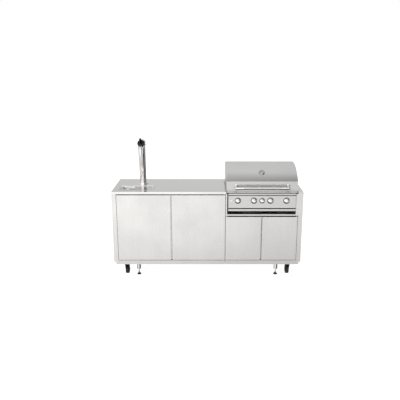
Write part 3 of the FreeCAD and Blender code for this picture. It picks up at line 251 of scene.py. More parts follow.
def brushed_grain_group(name):
    """Fine brush lines and wider streaks, both drawn out along one direction."""
    group, stretch, end = new_group(name, "Stretch", (1.0, 800.0, 800.0), "Lines", "Streaks")
    where = place_vector(group)
    for label, share, detail in (("Lines", 1.0, 4.0), ("Streaks", 0.09, 2.0)):
        scaled = group.nodes.new("ShaderNodeVectorMath")
        scaled.operation = "MULTIPLY"
        link(where, scaled.inputs[0])
        link(stretch, scaled.inputs[1])
        value = noise(group, scaled.outputs[0], share, detail)
        link(spread(group, value, 0.3, 0.7), end[label])
    return group


def handling_group(name):
    """Soft cloudy patches where the sheen was wiped and touched."""
    group, size, end = new_group(name, "Size", 4.0, "Patches")
    node = group.nodes.new("ShaderNodeTexNoise")
    link(place_vector(group), node.inputs["Vector"])
    link(size, node.inputs["Scale"])
    node.inputs["Detail"].default_value = 5.0
    link(spread(group, node.outputs["Fac"], 0.38, 0.66), end["Patches"])
    return group


def floor_dust_group(name):
    """Dust that thins out with height over the floor."""
    group, reach, end = new_group(name, "Reach", 0.06, "Dust")
    where = place_vector(group)
    height = math_node(group, "DIVIDE", split(group, where)["Z"], reach)
    low = math_node(group, "SUBTRACT", 1.0, height, clamp=True)
    cloud = spread(group, noise(group, where, 60.0, 4.0), 0.4, 0.7)
    link(math_node(group, "MULTIPLY", low, cloud, clamp=True), end["Dust"])
    return group


def underside_group(name):
    """How far a surface looks down, a mask for painted shade on undersides."""
    group, reach, end = new_group(name, "Reach", 0.3, "Mask")
    normal = group.nodes.new("ShaderNodeNewGeometry").outputs["Normal"]
    down = times(group, split(group, normal)["Z"], -1.0)
    deep = math_node(group, "SUBTRACT", down, 0.02)
    link(math_node(group, "DIVIDE", deep, reach, clamp=True), end["Mask"])
    return group


def grouped(tree, maker, name, **values):
    """Outputs of a group node with its inputs set, whose group is made the first time it is asked for."""
    node = tree.nodes.new("ShaderNodeGroup")
    node.node_tree = bpy.data.node_groups.get(name) or maker(name)
    for label, value in values.items():
        node.inputs[label].default_value = value
    return node.outputs


def patches(tree, size):
    """Patches of handling marks."""
    return grouped(tree, handling_group, "Handling marks", Size=size)["Patches"]


def darken_below(tree, tone, dark, reach=0.38):
    """Colour that turns to a painted shade colour where the surface looks down."""
    mask = grouped(tree, underside_group, "Underside", Reach=reach)["Mask"]
    return mix_colour(tree, mask, tone, dark)


def new_material(name, metallic, roughness, colour):
    """Material with a plain shader; returns the material, its tree and its shader."""
    material = bpy.data.materials.new(name)
    material.use_nodes = True
    shader = material.node_tree.nodes["Principled BSDF"]
    shader.inputs["Base Color"].default_value = (*colour, 1.0)
    shader.inputs["Metallic"].default_value = metallic
    shader.inputs["Roughness"].default_value = roughness
    return material, material.node_tree, shader


def add_bump(tree, shader, height, depth, strength=1.0):
    """Bump from a height mask of the given depth."""
    bump = tree.nodes.new("ShaderNodeBump")
    bump.inputs["Distance"].default_value = depth
    bump.inputs["Strength"].default_value = strength
    link(height, bump.inputs["Height"])
    link(bump.outputs["Normal"], shader.inputs["Normal"])


def shade(colour, share):
    """A colour made darker or lighter by a share."""
    return tuple(min(1.0, c * share) for c in colour)


def connect(shader, tone, rough):
    """Links a colour and a roughness to a shader."""
    link(tone, shader.inputs["Base Color"])
    link(rough, shader.inputs["Roughness"])


def brushed(name, colour, along, roughness, tint=None, shade_colour_below=None):
    """Brushed steel with its grain along an axis, a heat tint where given, and painted shade on its underside
    where a shade colour is given.
    """
    finish = bpy.context.scene.island_finish
    material, tree, shader = new_material(name, 1.0, roughness, colour)
    stretch = [1 / finish.grain_pitch] * 3
    stretch["XYZ".index(along)] = 1 / finish.grain_length
    grain = grouped(tree, brushed_grain_group, "Brushed grain", Stretch=stretch)
    marks = patches(tree, 3.0)
    tone = mix_colour(tree, grain["Streaks"], shade(colour, 0.99), shade(colour, 1.01))
    tone = mix_colour(tree, times(tree, grain["Lines"], 0.35), tone, shade(colour, 0.93))
    if tint:
        tone = mix_colour(tree, times(tree, marks, 0.7), tone, tint)
    if shade_colour_below:
        tone = darken_below(tree, tone, shade_colour_below)
    worn = times(tree, marks, 0.10 * finish.smudge)
    rough = math_node(tree, "ADD", times(tree, grain["Lines"], 0.05), worn)
    connect(shader, tone, math_node(tree, "ADD", rough, roughness - 0.05))
    add_bump(tree, shader, grain["Lines"], finish.grain_depth, 0.35)
    return material


def polished(name, colour, roughness, shade_colour_below=None, reach=0.38):
    """Polished metal with faint wipe marks, and painted shade on its underside where a shade colour is given.
    """
    material, tree, shader = new_material(name, 1.0, roughness, colour)
    marks = patches(tree, 18.0)
    tone = mix_colour(tree, marks, colour, shade(colour, 0.94))
    if shade_colour_below:
        tone = darken_below(tree, tone, shade_colour_below, reach)
    worn = times(tree, marks, 0.10 * bpy.context.scene.island_finish.smudge)
    connect(shader, tone, math_node(tree, "ADD", worn, roughness))
    return material


def coated(name, colour, roughness, depth, dust=0.0, coat=0.0):
    """Coating, paint, plastic or rubber, its texture depth mm deep, with scuffs and dust near the floor."""
    material, tree, shader = new_material(name, 0.0, roughness, colour)
    shader.inputs["Specular IOR Level"].default_value = 0.16
    shader.inputs["Coat Weight"].default_value = coat
    shader.inputs["Coat Roughness"].default_value = 0.08
    marks = patches(tree, 30.0)
    tone = mix_colour(tree, marks, colour, shade(colour, 1.9))
    if dust:
        film = grouped(tree, floor_dust_group, "Floor dust", Reach=0.09)["Dust"]
        tone = mix_colour(tree, times(tree, film, dust), tone, (0.22, 0.21, 0.19))
    connect(shader, tone, math_node(tree, "ADD", times(tree, marks, 0.12), roughness - 0.03))
    add_bump(tree, shader, noise(tree, place_vector(tree), 1400.0, 2.0), depth * mm, 0.6)
    return material


def cast_iron(name):
    """Matt enamelled cast iron with a pitted skin."""
    material, tree, shader = new_material(name, 0.0, 0.55, (0.02, 0.02, 0.021))
    where = place_vector(tree)
    pits = noise(tree, where, 700.0, 4.0, 0.7)
    rust = spread(tree, noise(tree, where, 25.0), 0.4, 0.7)
    tone = mix_colour(tree, rust, (0.016, 0.016, 0.017), (0.04, 0.037, 0.034))
    connect(shader, tone, spread(tree, pits, 0.3, 0.7, 0.42, 0.68))
    shader.inputs["Coat Weight"].default_value = 0.15
    add_bump(tree, shader, pits, 0.25 * mm, 0.7)
    return material


def machined_brass(name):
    """Machined brass with a slightly dull patina."""
    material, tree, shader = new_material(name, 1.0, 0.3, (0.68, 0.47, 0.2))
    marks = patches(tree, 40.0)
    tone = mix_colour(tree, marks, (0.72, 0.52, 0.24), (0.45, 0.3, 0.13))
    connect(shader, tone, spread(tree, marks, 0, 1, 0.22, 0.42))
    return material


def burner_tile(name):
    """Ceramic burner face with rows of small gas ports."""
    material, tree, shader = new_material(name, 0.0, 0.8, (0.62, 0.5, 0.4))
    where = place_vector(tree)
    cells = tree.nodes.new("ShaderNodeTexVoronoi")
    link(where, cells.inputs["Vector"])
    cells.inputs["Scale"].default_value = 260.0
    cells.inputs["Randomness"].default_value = 0.25
    # The ports are dark spots with a bump; their darkness is painted shade in the holes.
    port = spread(tree, cells.outputs["Distance"], 0.22, 0.32)
    tone = mix_colour(tree, port, (0.08, 0.06, 0.05), (0.66, 0.54, 0.44))
    warm = spread(tree, noise(tree, where, 14.0), 0.4, 0.7)
    tone = mix_colour(tree, times(tree, warm, 0.4), tone, (0.5, 0.33, 0.22))
    link(tone, shader.inputs["Base Color"])
    add_bump(tree, shader, port, 0.8 * mm)
    return material


def dial_paint(name, colour):
    """Satin dial paint with a faint turned grain."""
    material, tree, shader = new_material(name, 0.35, 0.38, colour)
    grain = grouped(tree, brushed_grain_group, "Brushed grain", Stretch=(60.0, 2500.0, 2500.0))
    tone = mix_colour(tree, grain["Lines"], shade(colour, 0.93), shade(colour, 1.04))
    connect(shader, tone, spread(tree, grain["Streaks"], 0, 1, 0.33, 0.43))
    return material


def clear_glass(name):
    """Clear glass with faint smudges."""
    material, tree, shader = new_material(name, 0.0, 0.02, (1.0, 1.0, 1.0))
    shader.inputs["Transmission Weight"].default_value = 1.0
    shader.inputs["IOR"].default_value = 1.45
    link(spread(tree, patches(tree, 50.0), 0, 1, 0.01, 0.06), shader.inputs["Roughness"])
    return material


def finish_for(key):
    """The material of one finish, made the first time it is asked for."""
    known = bpy.data.materials.get(key)
    if known:
        return known
    look = bpy.context.scene.island_finish
    steel = look.steel_colour
    finishes = {
        "worktop sheet": (brushed, look.worktop_colour, "X", 0.1),
        "panel sheet": (brushed, steel, "X", 0.31),
        "side sheet": (brushed, steel, "Z", 0.27),
        "door sheet": (brushed, steel, "Z", 0.27),
        # Hood: the worktop's steel a little lighter, as painted light.
        "hood sheet": (brushed, shade(look.worktop_colour, 1.02), "X", 0.29),
        # Fascia: the sheet steel darker, as painted shade.
        "fascia sheet": (brushed, shade(steel, 0.93), "X", 0.31),
        # Ledge: the sheet steel lighter, as painted light.
        "ledge sheet": (brushed, shade(steel, 1.26), "X", 0.5),
        "inner sheet": (brushed, shade(steel, 0.8), "X", 0.42),
        "heated steel": (brushed, shade(steel, 0.7), "Y", 0.4, (0.34, 0.25, 0.17)),
        "polished steel": (polished, shade(steel, 1.12), 0.16),
        "chrome": (polished, look.chrome_colour, 0.05),
        # Column: the sheet steel lighter, as painted light.
        "column steel": (polished, shade(steel, 1.27), 0.05),
        # The handle's bar and ends are darkened on their undersides: painted shade.
        "handle sheet": (brushed, shade(steel, 1.05), "X", 0.24, None, (0.14, 0.137, 0.134)),
        "handle chrome": (polished, look.chrome_colour, 0.05, (0.01, 0.01, 0.01), 0.1),
        # Handle roses: the sheet steel darker, as painted shade.
        "bracket sheet": (brushed, shade(steel, 0.86), "X", 0.3),
        "dark bezel": (polished, (0.42, 0.418, 0.41), 0.2),
        # Knob bezels near black: painted shade for the dark band round each knob.
        "dark ring": (polished, (0.05, 0.05, 0.05), 0.2),
        # Knobs: the chrome darker, as painted shade.
        "knob chrome": (polished, shade(look.chrome_colour, 0.9), 0.06),
        # Dark grey for the ledge's end caps, and for strips that are painted shade in the panel's gaps.
        "seal grey": (coated, (0.06, 0.06, 0.059), 0.6, 0.01),
        "black coating": (coated, look.coating_colour, 0.34, 0.05, 0.2),
        "black gloss": (coated, (0.004, 0.004, 0.005), 0.2, 0.004, 0.0, 0.12),
        "wheel rubber": (coated, look.rubber_colour, 0.62, 0.09, 0.35),
        "foot rubber": (coated, look.rubber_colour, 0.7, 0.12, 0.3),
        "grey sealant": (coated, (0.36, 0.36, 0.35), 0.55, 0.02),
        "dial ink": (coated, (0.01, 0.01, 0.011), 0.5, 0.01),
        "dial grey": (coated, (0.12, 0.12, 0.12), 0.5, 0.01),
        "cast grate": (cast_iron,),
        "brass": (machined_brass,),
        "burner tile": (burner_tile,),
        "dial face": (dial_paint, (0.55, 0.55, 0.54)),
        "needle paint": (coated, (0.03, 0.03, 0.032), 0.4, 0.005),
        "clear glass": (clear_glass,),
    }
    maker, *settings = finishes[key]
    return maker(key, *settings)


def finish_nodes(key, *names):
    """Gives CAD nodes one finish."""
    for name in names:
        node = frame["nodes"][name]
        node.data.materials.clear()
        node.data.materials.append(finish_for(key))


# Mesh building


def turned(bm, profile, place, axis, steps=48):
    """Adds a turned form, closed where its profile ends off the axis.

    The profile holds (radius, height) pairs in millimetres, and its heights run along axis from place.
    """
    turn = Vector((0, 0, 1)).rotation_difference(Vector(axis)).to_matrix()
    (r0, h0), (r1, h1) = profile[0], profile[-1]
    flat = len(profile) == 2 and h0 == h1
    looped = len(profile) > 2 and (r0, h0) == (r1, h1)
    hollow = len(profile) > 2 and r0 > 0 and r1 > 0 and not looped
    if not (hollow or flat or looped):
        profile = [(0, h0)] * (r0 > 0) + list(profile) + [(0, h1)] * (r1 > 0)
    rings = []
    for r, h in profile:
        ring = []
        for i in range(1 if r < 1e-6 else steps):
            angle = 2 * math.pi * i / steps
            spot = Vector((r * math.cos(angle), r * math.sin(angle), h)) * mm
            ring.append(bm.verts.new(Vector(place) + turn @ spot))
        rings.append(ring)
    for low, high in zip(rings, rings[1:] + rings[:1] * hollow):
        for i in range(steps):
            j = (i + 1) % steps
            corners = [low[i % len(low)], low[j % len(low)], high[j % len(high)], high[i % len(high)]]
            corners = list(dict.fromkeys(corners))
            if len(corners) > 2:
                bm.faces.new(corners)


def prism(bm, outlines):
    """Adds a straight form between two like outlines of places, with its ends."""
    ends = [[bm.verts.new(spot) for spot in outline] for outline in outlines]
    for end in ends:
        bm.faces.new(end)
    for i in range(len(ends[0])):
        j = (i + 1) % len(ends[0])
        bm.faces.new([ends[0][i], ends[0][j], ends[1][j], ends[1][i]])


def rounded(profile, radius, steps=4):
    """Profile with its inner corners rounded to radius, or less on short runs."""
    out = [profile[0]]
    for before, here, after in zip(profile, profile[1:], profile[2:]):
        a = Vector(before) - Vector(here)
        b = Vector(after) - Vector(here)
        reach = min(radius, a.length * 0.45, b.length * 0.45)
        start = Vector(here) + a.normalized() * reach
        stop = Vector(here) + b.normalized() * reach
        for i in range(steps + 1):
            t = i / steps
            spot = start * (1 - t) ** 2 + Vector(here) * 2 * t * (1 - t) + stop * t ** 2
            out.append(tuple(spot))
    return out + [profile[-1]]


def slab(bm, low, high, turn=None, centre=None):
    """Adds a block between two corners, turned about a centre where one is given."""
    (x0, y0, z0), (x1, y1, z1) = low, high
    ends = [[Vector((x, y, z)) for y, z in ((y0, z0), (y1, z0), (y1, z1), (y0, z1))] for x in (x0, x1)]
    if turn is not None:
        ends = [[centre + turn @ (spot - centre) for spot in end] for end in ends]
    prism(bm, ends)


def hexagon(bm, place, axis, width, height):
    """Adds a hexagon head with a turned chamfer, its width across flats and height in millimetres."""
    r = width / math.sqrt(3)
    turned(bm, [(0, 0), (r, 0), (r, height * 0.75), (r * 0.86, height), (0, height)], place, axis, 6)


def new_object(name, data):
    """Object that stands in the scene."""
    item = bpy.data.objects.new(name, data)
    bpy.context.scene.collection.objects.link(item)
    return item


def make_piece(name, bm, finish, body, smooth=35.0, bevel=0.0):
    """Turns a mesh under construction into a piece that rides on a body."""
    bmesh.ops.recalc_face_normals(bm, faces=bm.faces)
    mesh = bpy.data.meshes.new(name)
    bm.to_mesh(mesh)
    bm.free()
    mesh.shade_smooth()
    mesh.set_sharp_from_angle(angle=math.radians(smooth))
    piece = new_object(name, mesh)
    mesh.materials.append(finish_for(finish))
    if bevel:
        rounding = piece.modifiers.new("Rounded edges", "BEVEL")
        rounding.width = bevel
        rounding.segments = 2
        rounding.limit_method = "ANGLE"
        rounding.angle_limit = math.radians(50)
        rounding.harden_normals = True
    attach(piece, body)
    return piece


def turned_piece(name, finish, body, *form, smooth=35.0):
    """Piece of one turned form."""
    bm = bmesh.new()
    turned(bm, *form)
    return make_piece(name, bm, finish, body, smooth)


def joint_place(key, name):
    """Place of the joint whose entry under key holds name."""
    return next(Vector(joint["pos_m"]) for joint in frame["joints"] if joint[key] == name)


def middle(name):
    """Middle of a CAD node's box."""
    low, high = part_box(name)
    return (low + high) / 2


# Pieces


class ISLAND_OT_cabinet(bpy.types.Operator):
    """Finish the worktop, panels, frames and floors of both modules"""

    bl_idname = "island.cabinet"
    bl_label = "Cabinet"

    def execute(self, context):
        finish_nodes("worktop sheet", "worktop")
        finish_nodes("side sheet", "left_side_panel", "right_side_panel")
        finish_nodes("panel sheet", "left_back_panel", "grill_back_panel", "left_floor_pan",
                     "grill_floor_pan", "grill_mid_rail", "left_base_frame", "right_base_frame",
                     "grill_module_wall")
        finish_nodes("inner sheet", "left_module_wall", "top_front_rail")
        return {"FINISHED"}


class ISLAND_OT_doors(bpy.types.Operator):
    """Finish the four doors and their pivots, and add their rubber bumpers and cover strips"""

    bl_idname = "island.doors"
    bl_label = "Doors"

    def execute(self, context):
        free_sides = {"left_door": 1, "middle_door": -1, "lower_left_door": 1, "lower_right_door": -1}
        finish_nodes("door sheet", *free_sides)
        finish_nodes("polished steel", "door_pivot_pins")
        r = context.scene.island_fittings.bumper_width / 2 / mm
        bumper = rounded([(0, 0), (r, 0), (r * 0.8, 1.7), (0, 1.7)], 0.8)
        inset = 11 * mm
        cover_lap, cover_reach, cover_t, cover_short = 0.5 * mm, 8 * mm, 1.5 * mm, 3 * mm
        for name, side in free_sides.items():
            low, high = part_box(name)
            free_x = high.x if side > 0 else low.x
            bm = bmesh.new()
            for z in (low.z + inset, high.z - inset):
                turned(bm, bumper, (free_x - side * inset, door_back, z), (0, 1, 0), 24)
            make_piece(name + "_bumpers", bm, "foot rubber", name)
            if side > 0:
                cover = bmesh.new()
                slab(cover, (high.x - cover_lap, high.y - cover_t, low.z + cover_short),
                     (high.x + cover_reach, high.y, high.z - cover_short))
                make_piece(name + "_cover_strip", cover, "door sheet", name)
        return {"FINISHED"}


class ISLAND_OT_running_gear(bpy.types.Operator):
    """Finish the legs, feet and castors, and add their nuts, bolts and hub caps"""

    bl_idname = "island.running_gear"
    bl_label = "Legs and castors"

    def execute(self, context):
        finish_nodes("polished steel", "leg_tubes")
        finish_nodes("black coating", "castor_plates")
        width = context.scene.island_fittings.bolt_width / mm
        bolt_reach, plate_t = 30 * mm, 4 * mm
        plate_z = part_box("castor_plates")[1].z - plate_t
        flange = rounded([(23.2, 0), (29, 0), (29, -2.5), (23.2, -2.5), (23.2, 0)], 0.8)
        bolts = bmesh.new()
        flanges = bmesh.new()
        for corner in corner_names:
            finish_nodes("black coating", corner + "_castor_fork")
            finish_nodes("wheel rubber", corner + "_wheel")
            finish_nodes("foot rubber", corner + "_foot")
            swivel = joint_place("child", corner + "_castor")
            for dx in (-bolt_reach, bolt_reach):
                for dy in (-bolt_reach, bolt_reach):
                    hexagon(bolts, (swivel.x + dx, swivel.y + dy, plate_z), (0, 0, -1), width, 4.0)
            wheel_trim(corner)
            foot_nut(corner + "_foot")
            centre = middle(corner + "_foot")
            turned(flanges, flange, (centre.x, centre.y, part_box("leg_tubes")[1].z), (0, 0, 1), 40)
        make_piece("castor_bolts", bolts, "polished steel", "island", 25)
        make_piece("leg_flanges", flanges, "polished steel", "island")
        return {"FINISHED"}


def wheel_trim(corner):
    """Hub caps of one wheel and the nuts of its axle."""
    wheel = corner + "_wheel"
    low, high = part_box(wheel)
    axle = middle(wheel)
    half = (high.x - low.x) / 2
    nut_offset = 4.5 * mm
    dish = rounded([(6.5, 0.2), (7.5, 1.2), (10.5, 1.0), (11.5, -7.0), (33.0, -7.2), (33.4, -8.2),
                    (6.5, -8.2), (6.5, 0.2)], 1.0)
    caps = bmesh.new()
    nuts = bmesh.new()
    for side in (-1, 1):
        turned(caps, dish, (axle.x + side * half, axle.y, axle.z), (side, 0, 0), 40)
        place = (axle.x + side * (half + nut_offset), axle.y, axle.z)
        hexagon(nuts, place, (side, 0, 0), 15.0, 4.5)
    make_piece(wheel + "_hub", caps, "black coating", wheel)
    make_piece(corner + "_axle_nuts", nuts, "polished steel", corner + "_castor", 25)


def foot_nut(foot):
    """Lock nut over a foot's pad, with its collar and the bright shank of the screw."""
    centre = middle(foot)
    seat = (centre.x, centre.y, foot_pad_top)
    shank = (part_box(foot)[1].z - foot_pad_top) / mm
    nut = bmesh.new()
    hexagon(nut, seat, (0, 0, 1), 19.0, 8.0)
    turned(nut, [(6.0, 8), (8.5, 8), (8.5, 9.2), (6.0, 9.2)], seat, (0, 0, 1), 32)
    turned(nut, [(6.03, 0.1), (6.03, shank)], seat, (0, 0, 1), 32)
    make_piece(foot + "_nut", nut, "polished steel", foot, 25)


class ISLAND_OT_grill_front(bpy.types.Operator):
    """Finish the control panel, knobs, valves and grease tray, and add the panel's strips, two of them dark
    grey as painted shade
    """

    bl_idname = "island.grill_front"
    bl_label = "Grill front"

    def execute(self, context):
        # The panel and tray get darker steel and the ledge lighter steel: painted shade and painted light.
        finish_nodes("fascia sheet", "control_panel", "grease_tray")
        finish_nodes("ledge sheet", "front_ledge")
        finish_nodes("chrome", "igniter_button", *knob_names)
        # The knob bezels are painted near black as shade round the knobs.
        finish_nodes("dark ring", "knob_bezels")
        finish_nodes("brass", "gas_manifold")
        marks = bmesh.new()
        for name in knob_names:
            knob(name, marks)
        make_piece("knob_marks", marks, "dial ink", "island")
        low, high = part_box("control_panel")
        x0, x1 = low.x + 0.3 * mm, high.x - 0.3 * mm
        nosing = [(-3.2, -33.5), (-3.2, -19.5), (-2.2, -18.5), (8, -18.5), (8, -22.9), (-2.05, -22.9),
                  (-2.05, -33.5)]
        # Dark grey strips over and under the nosing, where the panel's gaps fall into shade: painted shade.
        panel_shade_strip = [(1.0, -18.5), (1.0, -13.2), (6.0, -13.2), (6.0, -18.5)]
        groove_shade_strip = [(-1.0, -38.0), (-1.0, -34.1), (8.0, -34.1), (8.0, -38.0)]
        strip("panel_nosing", nosing, x0, x1, "fascia sheet")
        strip("panel_shade_strip", panel_shade_strip, x0, x1, "seal grey")
        strip("groove_shade_strip", groove_shade_strip, x0, x1, "seal grey")
        low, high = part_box("front_ledge")
        rest = [(19, 6.5), (19, 13.4), (20, 14.4), (30.8, 14.4), (30.8, 11.05), (25, 11.05)]
        cap = [(-0.4, -10.5), (-0.4, -7.8), (17.6, 6.1), (17.6, 5.4), (0, -8), (0, -10.5)]
        cap_near, cap_far = 0.1 * mm, 5.0 * mm
        strip("hood_rest_strip", rest, low.x + 1.0 * mm, high.x - 1.0 * mm, "fascia sheet")
        strip("ledge_cap_left", cap, low.x + cap_near, low.x + cap_far, "seal grey")
        strip("ledge_cap_right", cap, high.x - cap_far, high.x - cap_near, "seal grey")
        return {"FINISHED"}


def knob(name, marks):
    """Turned knob in place of the solid's, its pointer line and the dot over it on the panel."""
    low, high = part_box(name)
    centre = (low + high) / 2
    full_width = 62 * mm
    scale = (high.x - low.x) / full_width
    place = (centre.x, high.y, centre.z)
    front = 27.9
    rise = 1.3 * scale
    r0 = 17.5 * scale
    body = rounded([(4.2, 0.4), (31 * scale, 0), (31 * scale, 3), (30 * scale, 5),
                    (29.5 * scale, 17.5), (r0, front)], 2.5)
    shares = [i / 8 for i in range(1, 9)]
    face = [(r0 * (1 - t), front + rise * (1 - (1 - t) ** 2)) for t in shares]
    shell = turned_piece(name + "_turned", "knob chrome", name, body + face, place, (0, -1, 0), 72, smooth=50)
    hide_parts(name)
    line = bmesh.new()
    rows = []
    for i in range(7):
        r = (0.3 + 0.62 * i / 6) * r0
        h = front + rise * (1 - (r / r0) ** 2) + 0.12
        rows.append([line.verts.new(Vector(place) + Vector((x, -h, r)) * mm) for x in (-1, 1)])
    for a, b in zip(rows, rows[1:]):
        line.faces.new([a[0], a[1], b[1], b[0]])
    make_piece(name + "_pointer", line, "dial ink", name)
    spot = (centre.x, door_front, centre.z + (34.5 * scale + 6) * mm)
    turned(marks, [(0, 0.15), (1.5, 0.15), (1.7, 0.0)], spot, (0, -1, 0), 20)


def strip(name, outline, x0, x1, finish):
    """Strip along x, whose outline holds (depth, height) pairs from the front and the worktop."""
    bm = bmesh.new()
    prism(bm, [[(x, door_front + y * mm, worktop_z + z * mm) for y, z in outline] for x in (x0, x1)])
    make_piece(name, bm, finish, "island", bevel=0.15 * mm)


class ISLAND_OT_hood(bpy.types.Operator):
    """Finish the hood and its hinges, and build the handle's ends and the thermometer's dial"""

    bl_idname = "island.hood"
    bl_label = "Hood"

    def execute(self, context):
        finish_nodes("hood sheet", "hood_shell")
        # The handle's bar carries painted shade on its underside.
        finish_nodes("handle sheet", "hood_handle_bar")
        finish_nodes("dark bezel", "thermometer")
        finish_nodes("inner sheet", "hood_hinge_brackets")
        handle_ends()
        handle_roses()
        hinge = joint_place("name", "hood_hinge")
        cap = rounded([(0, 3.2), (6, 3.0), (9, 1.5), (9.5, 0)], 1.0)[::-1]
        caps = bmesh.new()
        for side, x in ((-1, hood_low.x), (1, hood_high.x)):
            turned(caps, cap, (x, hinge.y, hinge.z), (side, 0, 0), 32)
        make_piece("hood_hinge_caps", caps, "polished steel", "hood")
        dial(context)
        return {"FINISHED"}


def handle_ends():
    """Polished ends of the handle with their posts, and a ring where each end meets the bar."""
    low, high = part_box("hood_handle_bar")
    y, z = middle("hood_handle_bar").yz
    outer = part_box("hood_handle_ends")[1]
    length = (outer.x - high.x) / mm
    back = (outer.y - y) / mm - 0.6
    r, tip = 12, 22
    angles = [math.pi * i / 24 for i in range(12)]
    arc = [(r * math.cos(a), length - tip + tip * math.sin(a)) for a in angles]
    ring = rounded([(11.0, -0.5), (11.9, -0.5), (11.9, 2.5), (11.0, 2.5)], 0.4)
    rings = bmesh.new()
    tips = bmesh.new()
    for side, x in ((-1, low.x), (1, high.x)):
        turned(rings, ring, (x, y, z), (side, 0, 0), 56)
        turned(tips, [(0, 0), (r, 0)] + arc + [(0, length)], (x, y, z), (side, 0, 0), 64)
        post = [(0, 6), (8, 6), (8, back), (0, back)]
        turned(tips, post, (grill_x + side * handle_post_x, y, z), (0, 1, 0), 40)
    # The handle's ends, posts and rings carry near-black painted shade underneath.
    shell = make_piece("hood_handle_tips", tips, "handle chrome", "hood")
    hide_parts("hood_handle_ends")
    make_piece("hood_handle_rings", rings, "handle chrome", "hood")


def handle_roses():
    """Oval domed plates on the front band where the posts of the handle meet it."""
    up = (band_top - band_foot).normalized()
    band = Vector((0, -up.z, up.y))
    share = (handle_rose_z - band_foot.z) / (band_top.z - band_foot.z)
    angles = [math.pi * i / 20 for i in range(10)]
    dome = [(17.4 * math.cos(a), 1.2 + 3.5 * math.sin(a) ** 2) for a in angles]
    stretch = 0.33
    roses = bmesh.new()
    for side in (-1, 1):
        place = Vector((grill_x + side * handle_post_x, door_front, worktop_z))
        place += band_foot.lerp(band_top, share)
        before = len(roses.verts)
        turned(roses, [(18, -0.2), (18, 0.7)] + dome + [(0, 4.7)], place, band, 64)
        for vert in list(roses.verts)[before:]:
            vert.co += up * up.dot(vert.co - place) * stretch
    make_piece("hood_handle_roses", roses, "bracket sheet", "hood")


def dial(context):
    """Face, marks, numbers, needle and glass of the thermometer."""
    rise = roll_crease_z - roll_crown_z
    centre_z = (roll_run ** 2 + roll_crease_z ** 2 - roll_crown_z ** 2) / (2 * rise)
    radius = roll_crown_z - centre_z
    z = centre_z + math.sqrt(radius ** 2 - (gauge_y - roll_crown_y) ** 2)
    out = Vector((0, (gauge_y - roll_crown_y) / radius, (z - centre_z) / radius))
    foot = Vector((grill_x, door_front + gauge_y * mm, worktop_z + z * mm))
    across = Vector((1, 0, 0))
    up = out.cross(across)

    def spot(angle, r, h, s=0.0):
        """Point over the dial's face, at an angle clockwise from the top and s off to the side."""
        x = r * math.sin(angle) + s * math.cos(angle)
        y = r * math.cos(angle) - s * math.sin(angle)
        return foot + (across * x + up * y + out * (dial_height + h)) * mm

    collar = rounded([(30.3, -1.0), (34.5, -1.0), (34.5, 1.2), (33.2, 2.6), (30.3, 2.6)], 0.8)
    turned_piece("thermometer_flange", "dark bezel", "hood", collar, foot, out, 72)
    seat = foot + out * dial_height * mm
    turned_piece("dial_face", "dial face", "hood", [(0, 0.15), (26.3, 0.15), (26.4, 0)], seat, out, 64)
    marks = bmesh.new()
    count = context.scene.island_fittings.dial_marks
    for i in range(count):
        angle = dial_start + i * dial_sweep / (count - 1)
        inner, half = (21.0, 0.45) if i % 6 == 0 else (22.6, 0.2)
        corners = ((inner, -half), (24.5, -half), (24.5, half), (inner, half))
        marks.faces.new([marks.verts.new(spot(angle, r, 0.3, s)) for r, s in corners])
    turned(marks, [(24.5, 0.3), (26.4, 0.3)], seat, out, 64)
    make_piece("dial_marks", marks, "dial ink", "hood")
    needle = bmesh.new()
    angle = math.radians(-118)
    outline = ((-7, 1.3), (-7, -1.3), (0, -0.9), (20, -0.15), (20, 0.15), (0, 0.9))
    prism(needle, [[spot(angle, r, h, s) for r, s in outline] for h in (1.0, 1.4)])
    turned(needle, rounded([(3.2, 0.4), (3.2, 1.8), (0, 2.0)], 0.5), seat, out, 28)
    make_piece("dial_needle", needle, "needle paint", "hood")
    numbers(spot, Matrix((across, up, out)).transposed().to_4x4())
    lens = [(0, 11.6), (12, 11.5), (26.3, 11.0), (26.3, 10.6), (12, 11.1), (0, 11.2)]
    turned_piece("dial_glass", "clear glass", "hood", lens, foot, out, 64)


def numbers(spot, turn):
    """Degrees in plain figures round the dial, turned to face out of it."""
    count, r, size = 7, 17.8, 3.6 * mm
    bm = bmesh.new()
    for i in range(count):
        text = bpy.data.curves.new("dial_number", "FONT")
        text.body = str(50 * (i + 1))
        text.size = size
        text.align_x = "CENTER"
        text.align_y = "CENTER"
        holder = new_object("dial_number", text)
        angle = dial_start + i * dial_sweep / (count - 1)
        holder.matrix_world = Matrix.Translation(spot(angle, r, 0.3)) @ turn
        bpy.context.view_layer.update()
        graph = bpy.context.evaluated_depsgraph_get()
        flat = bpy.data.meshes.new_from_object(holder.evaluated_get(graph))
        flat.transform(holder.matrix_world)
        bm.from_mesh(flat)
        bpy.data.objects.remove(holder)
    make_piece("dial_numbers", bm, "dial grey", "hood")


class ISLAND_OT_fire(bpy.types.Operator):
    """Finish the firebox, grates and burners, and add the rear burner's tile"""

    bl_idname = "island.fire"
    bl_label = "Fire"

    def execute(self, context):
        finish_nodes("inner sheet", "firebox")
        finish_nodes("heated steel", "flame_tamers", "burner_tubes", "rear_burner")
        finish_nodes("cast grate", "cooking_grates")
        low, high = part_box("rear_burner")
        frame_w, front, back = 12.5 * mm, 4.5 * mm, 5.9 * mm
        tile = bmesh.new()
        slab(tile, (low.x + frame_w, low.y + front, low.z + frame_w),
             (high.x - frame_w, low.y + back, high.z - frame_w))
        make_piece("rear_burner_tile", tile, "burner tile", "island")
        return {"FINISHED"}


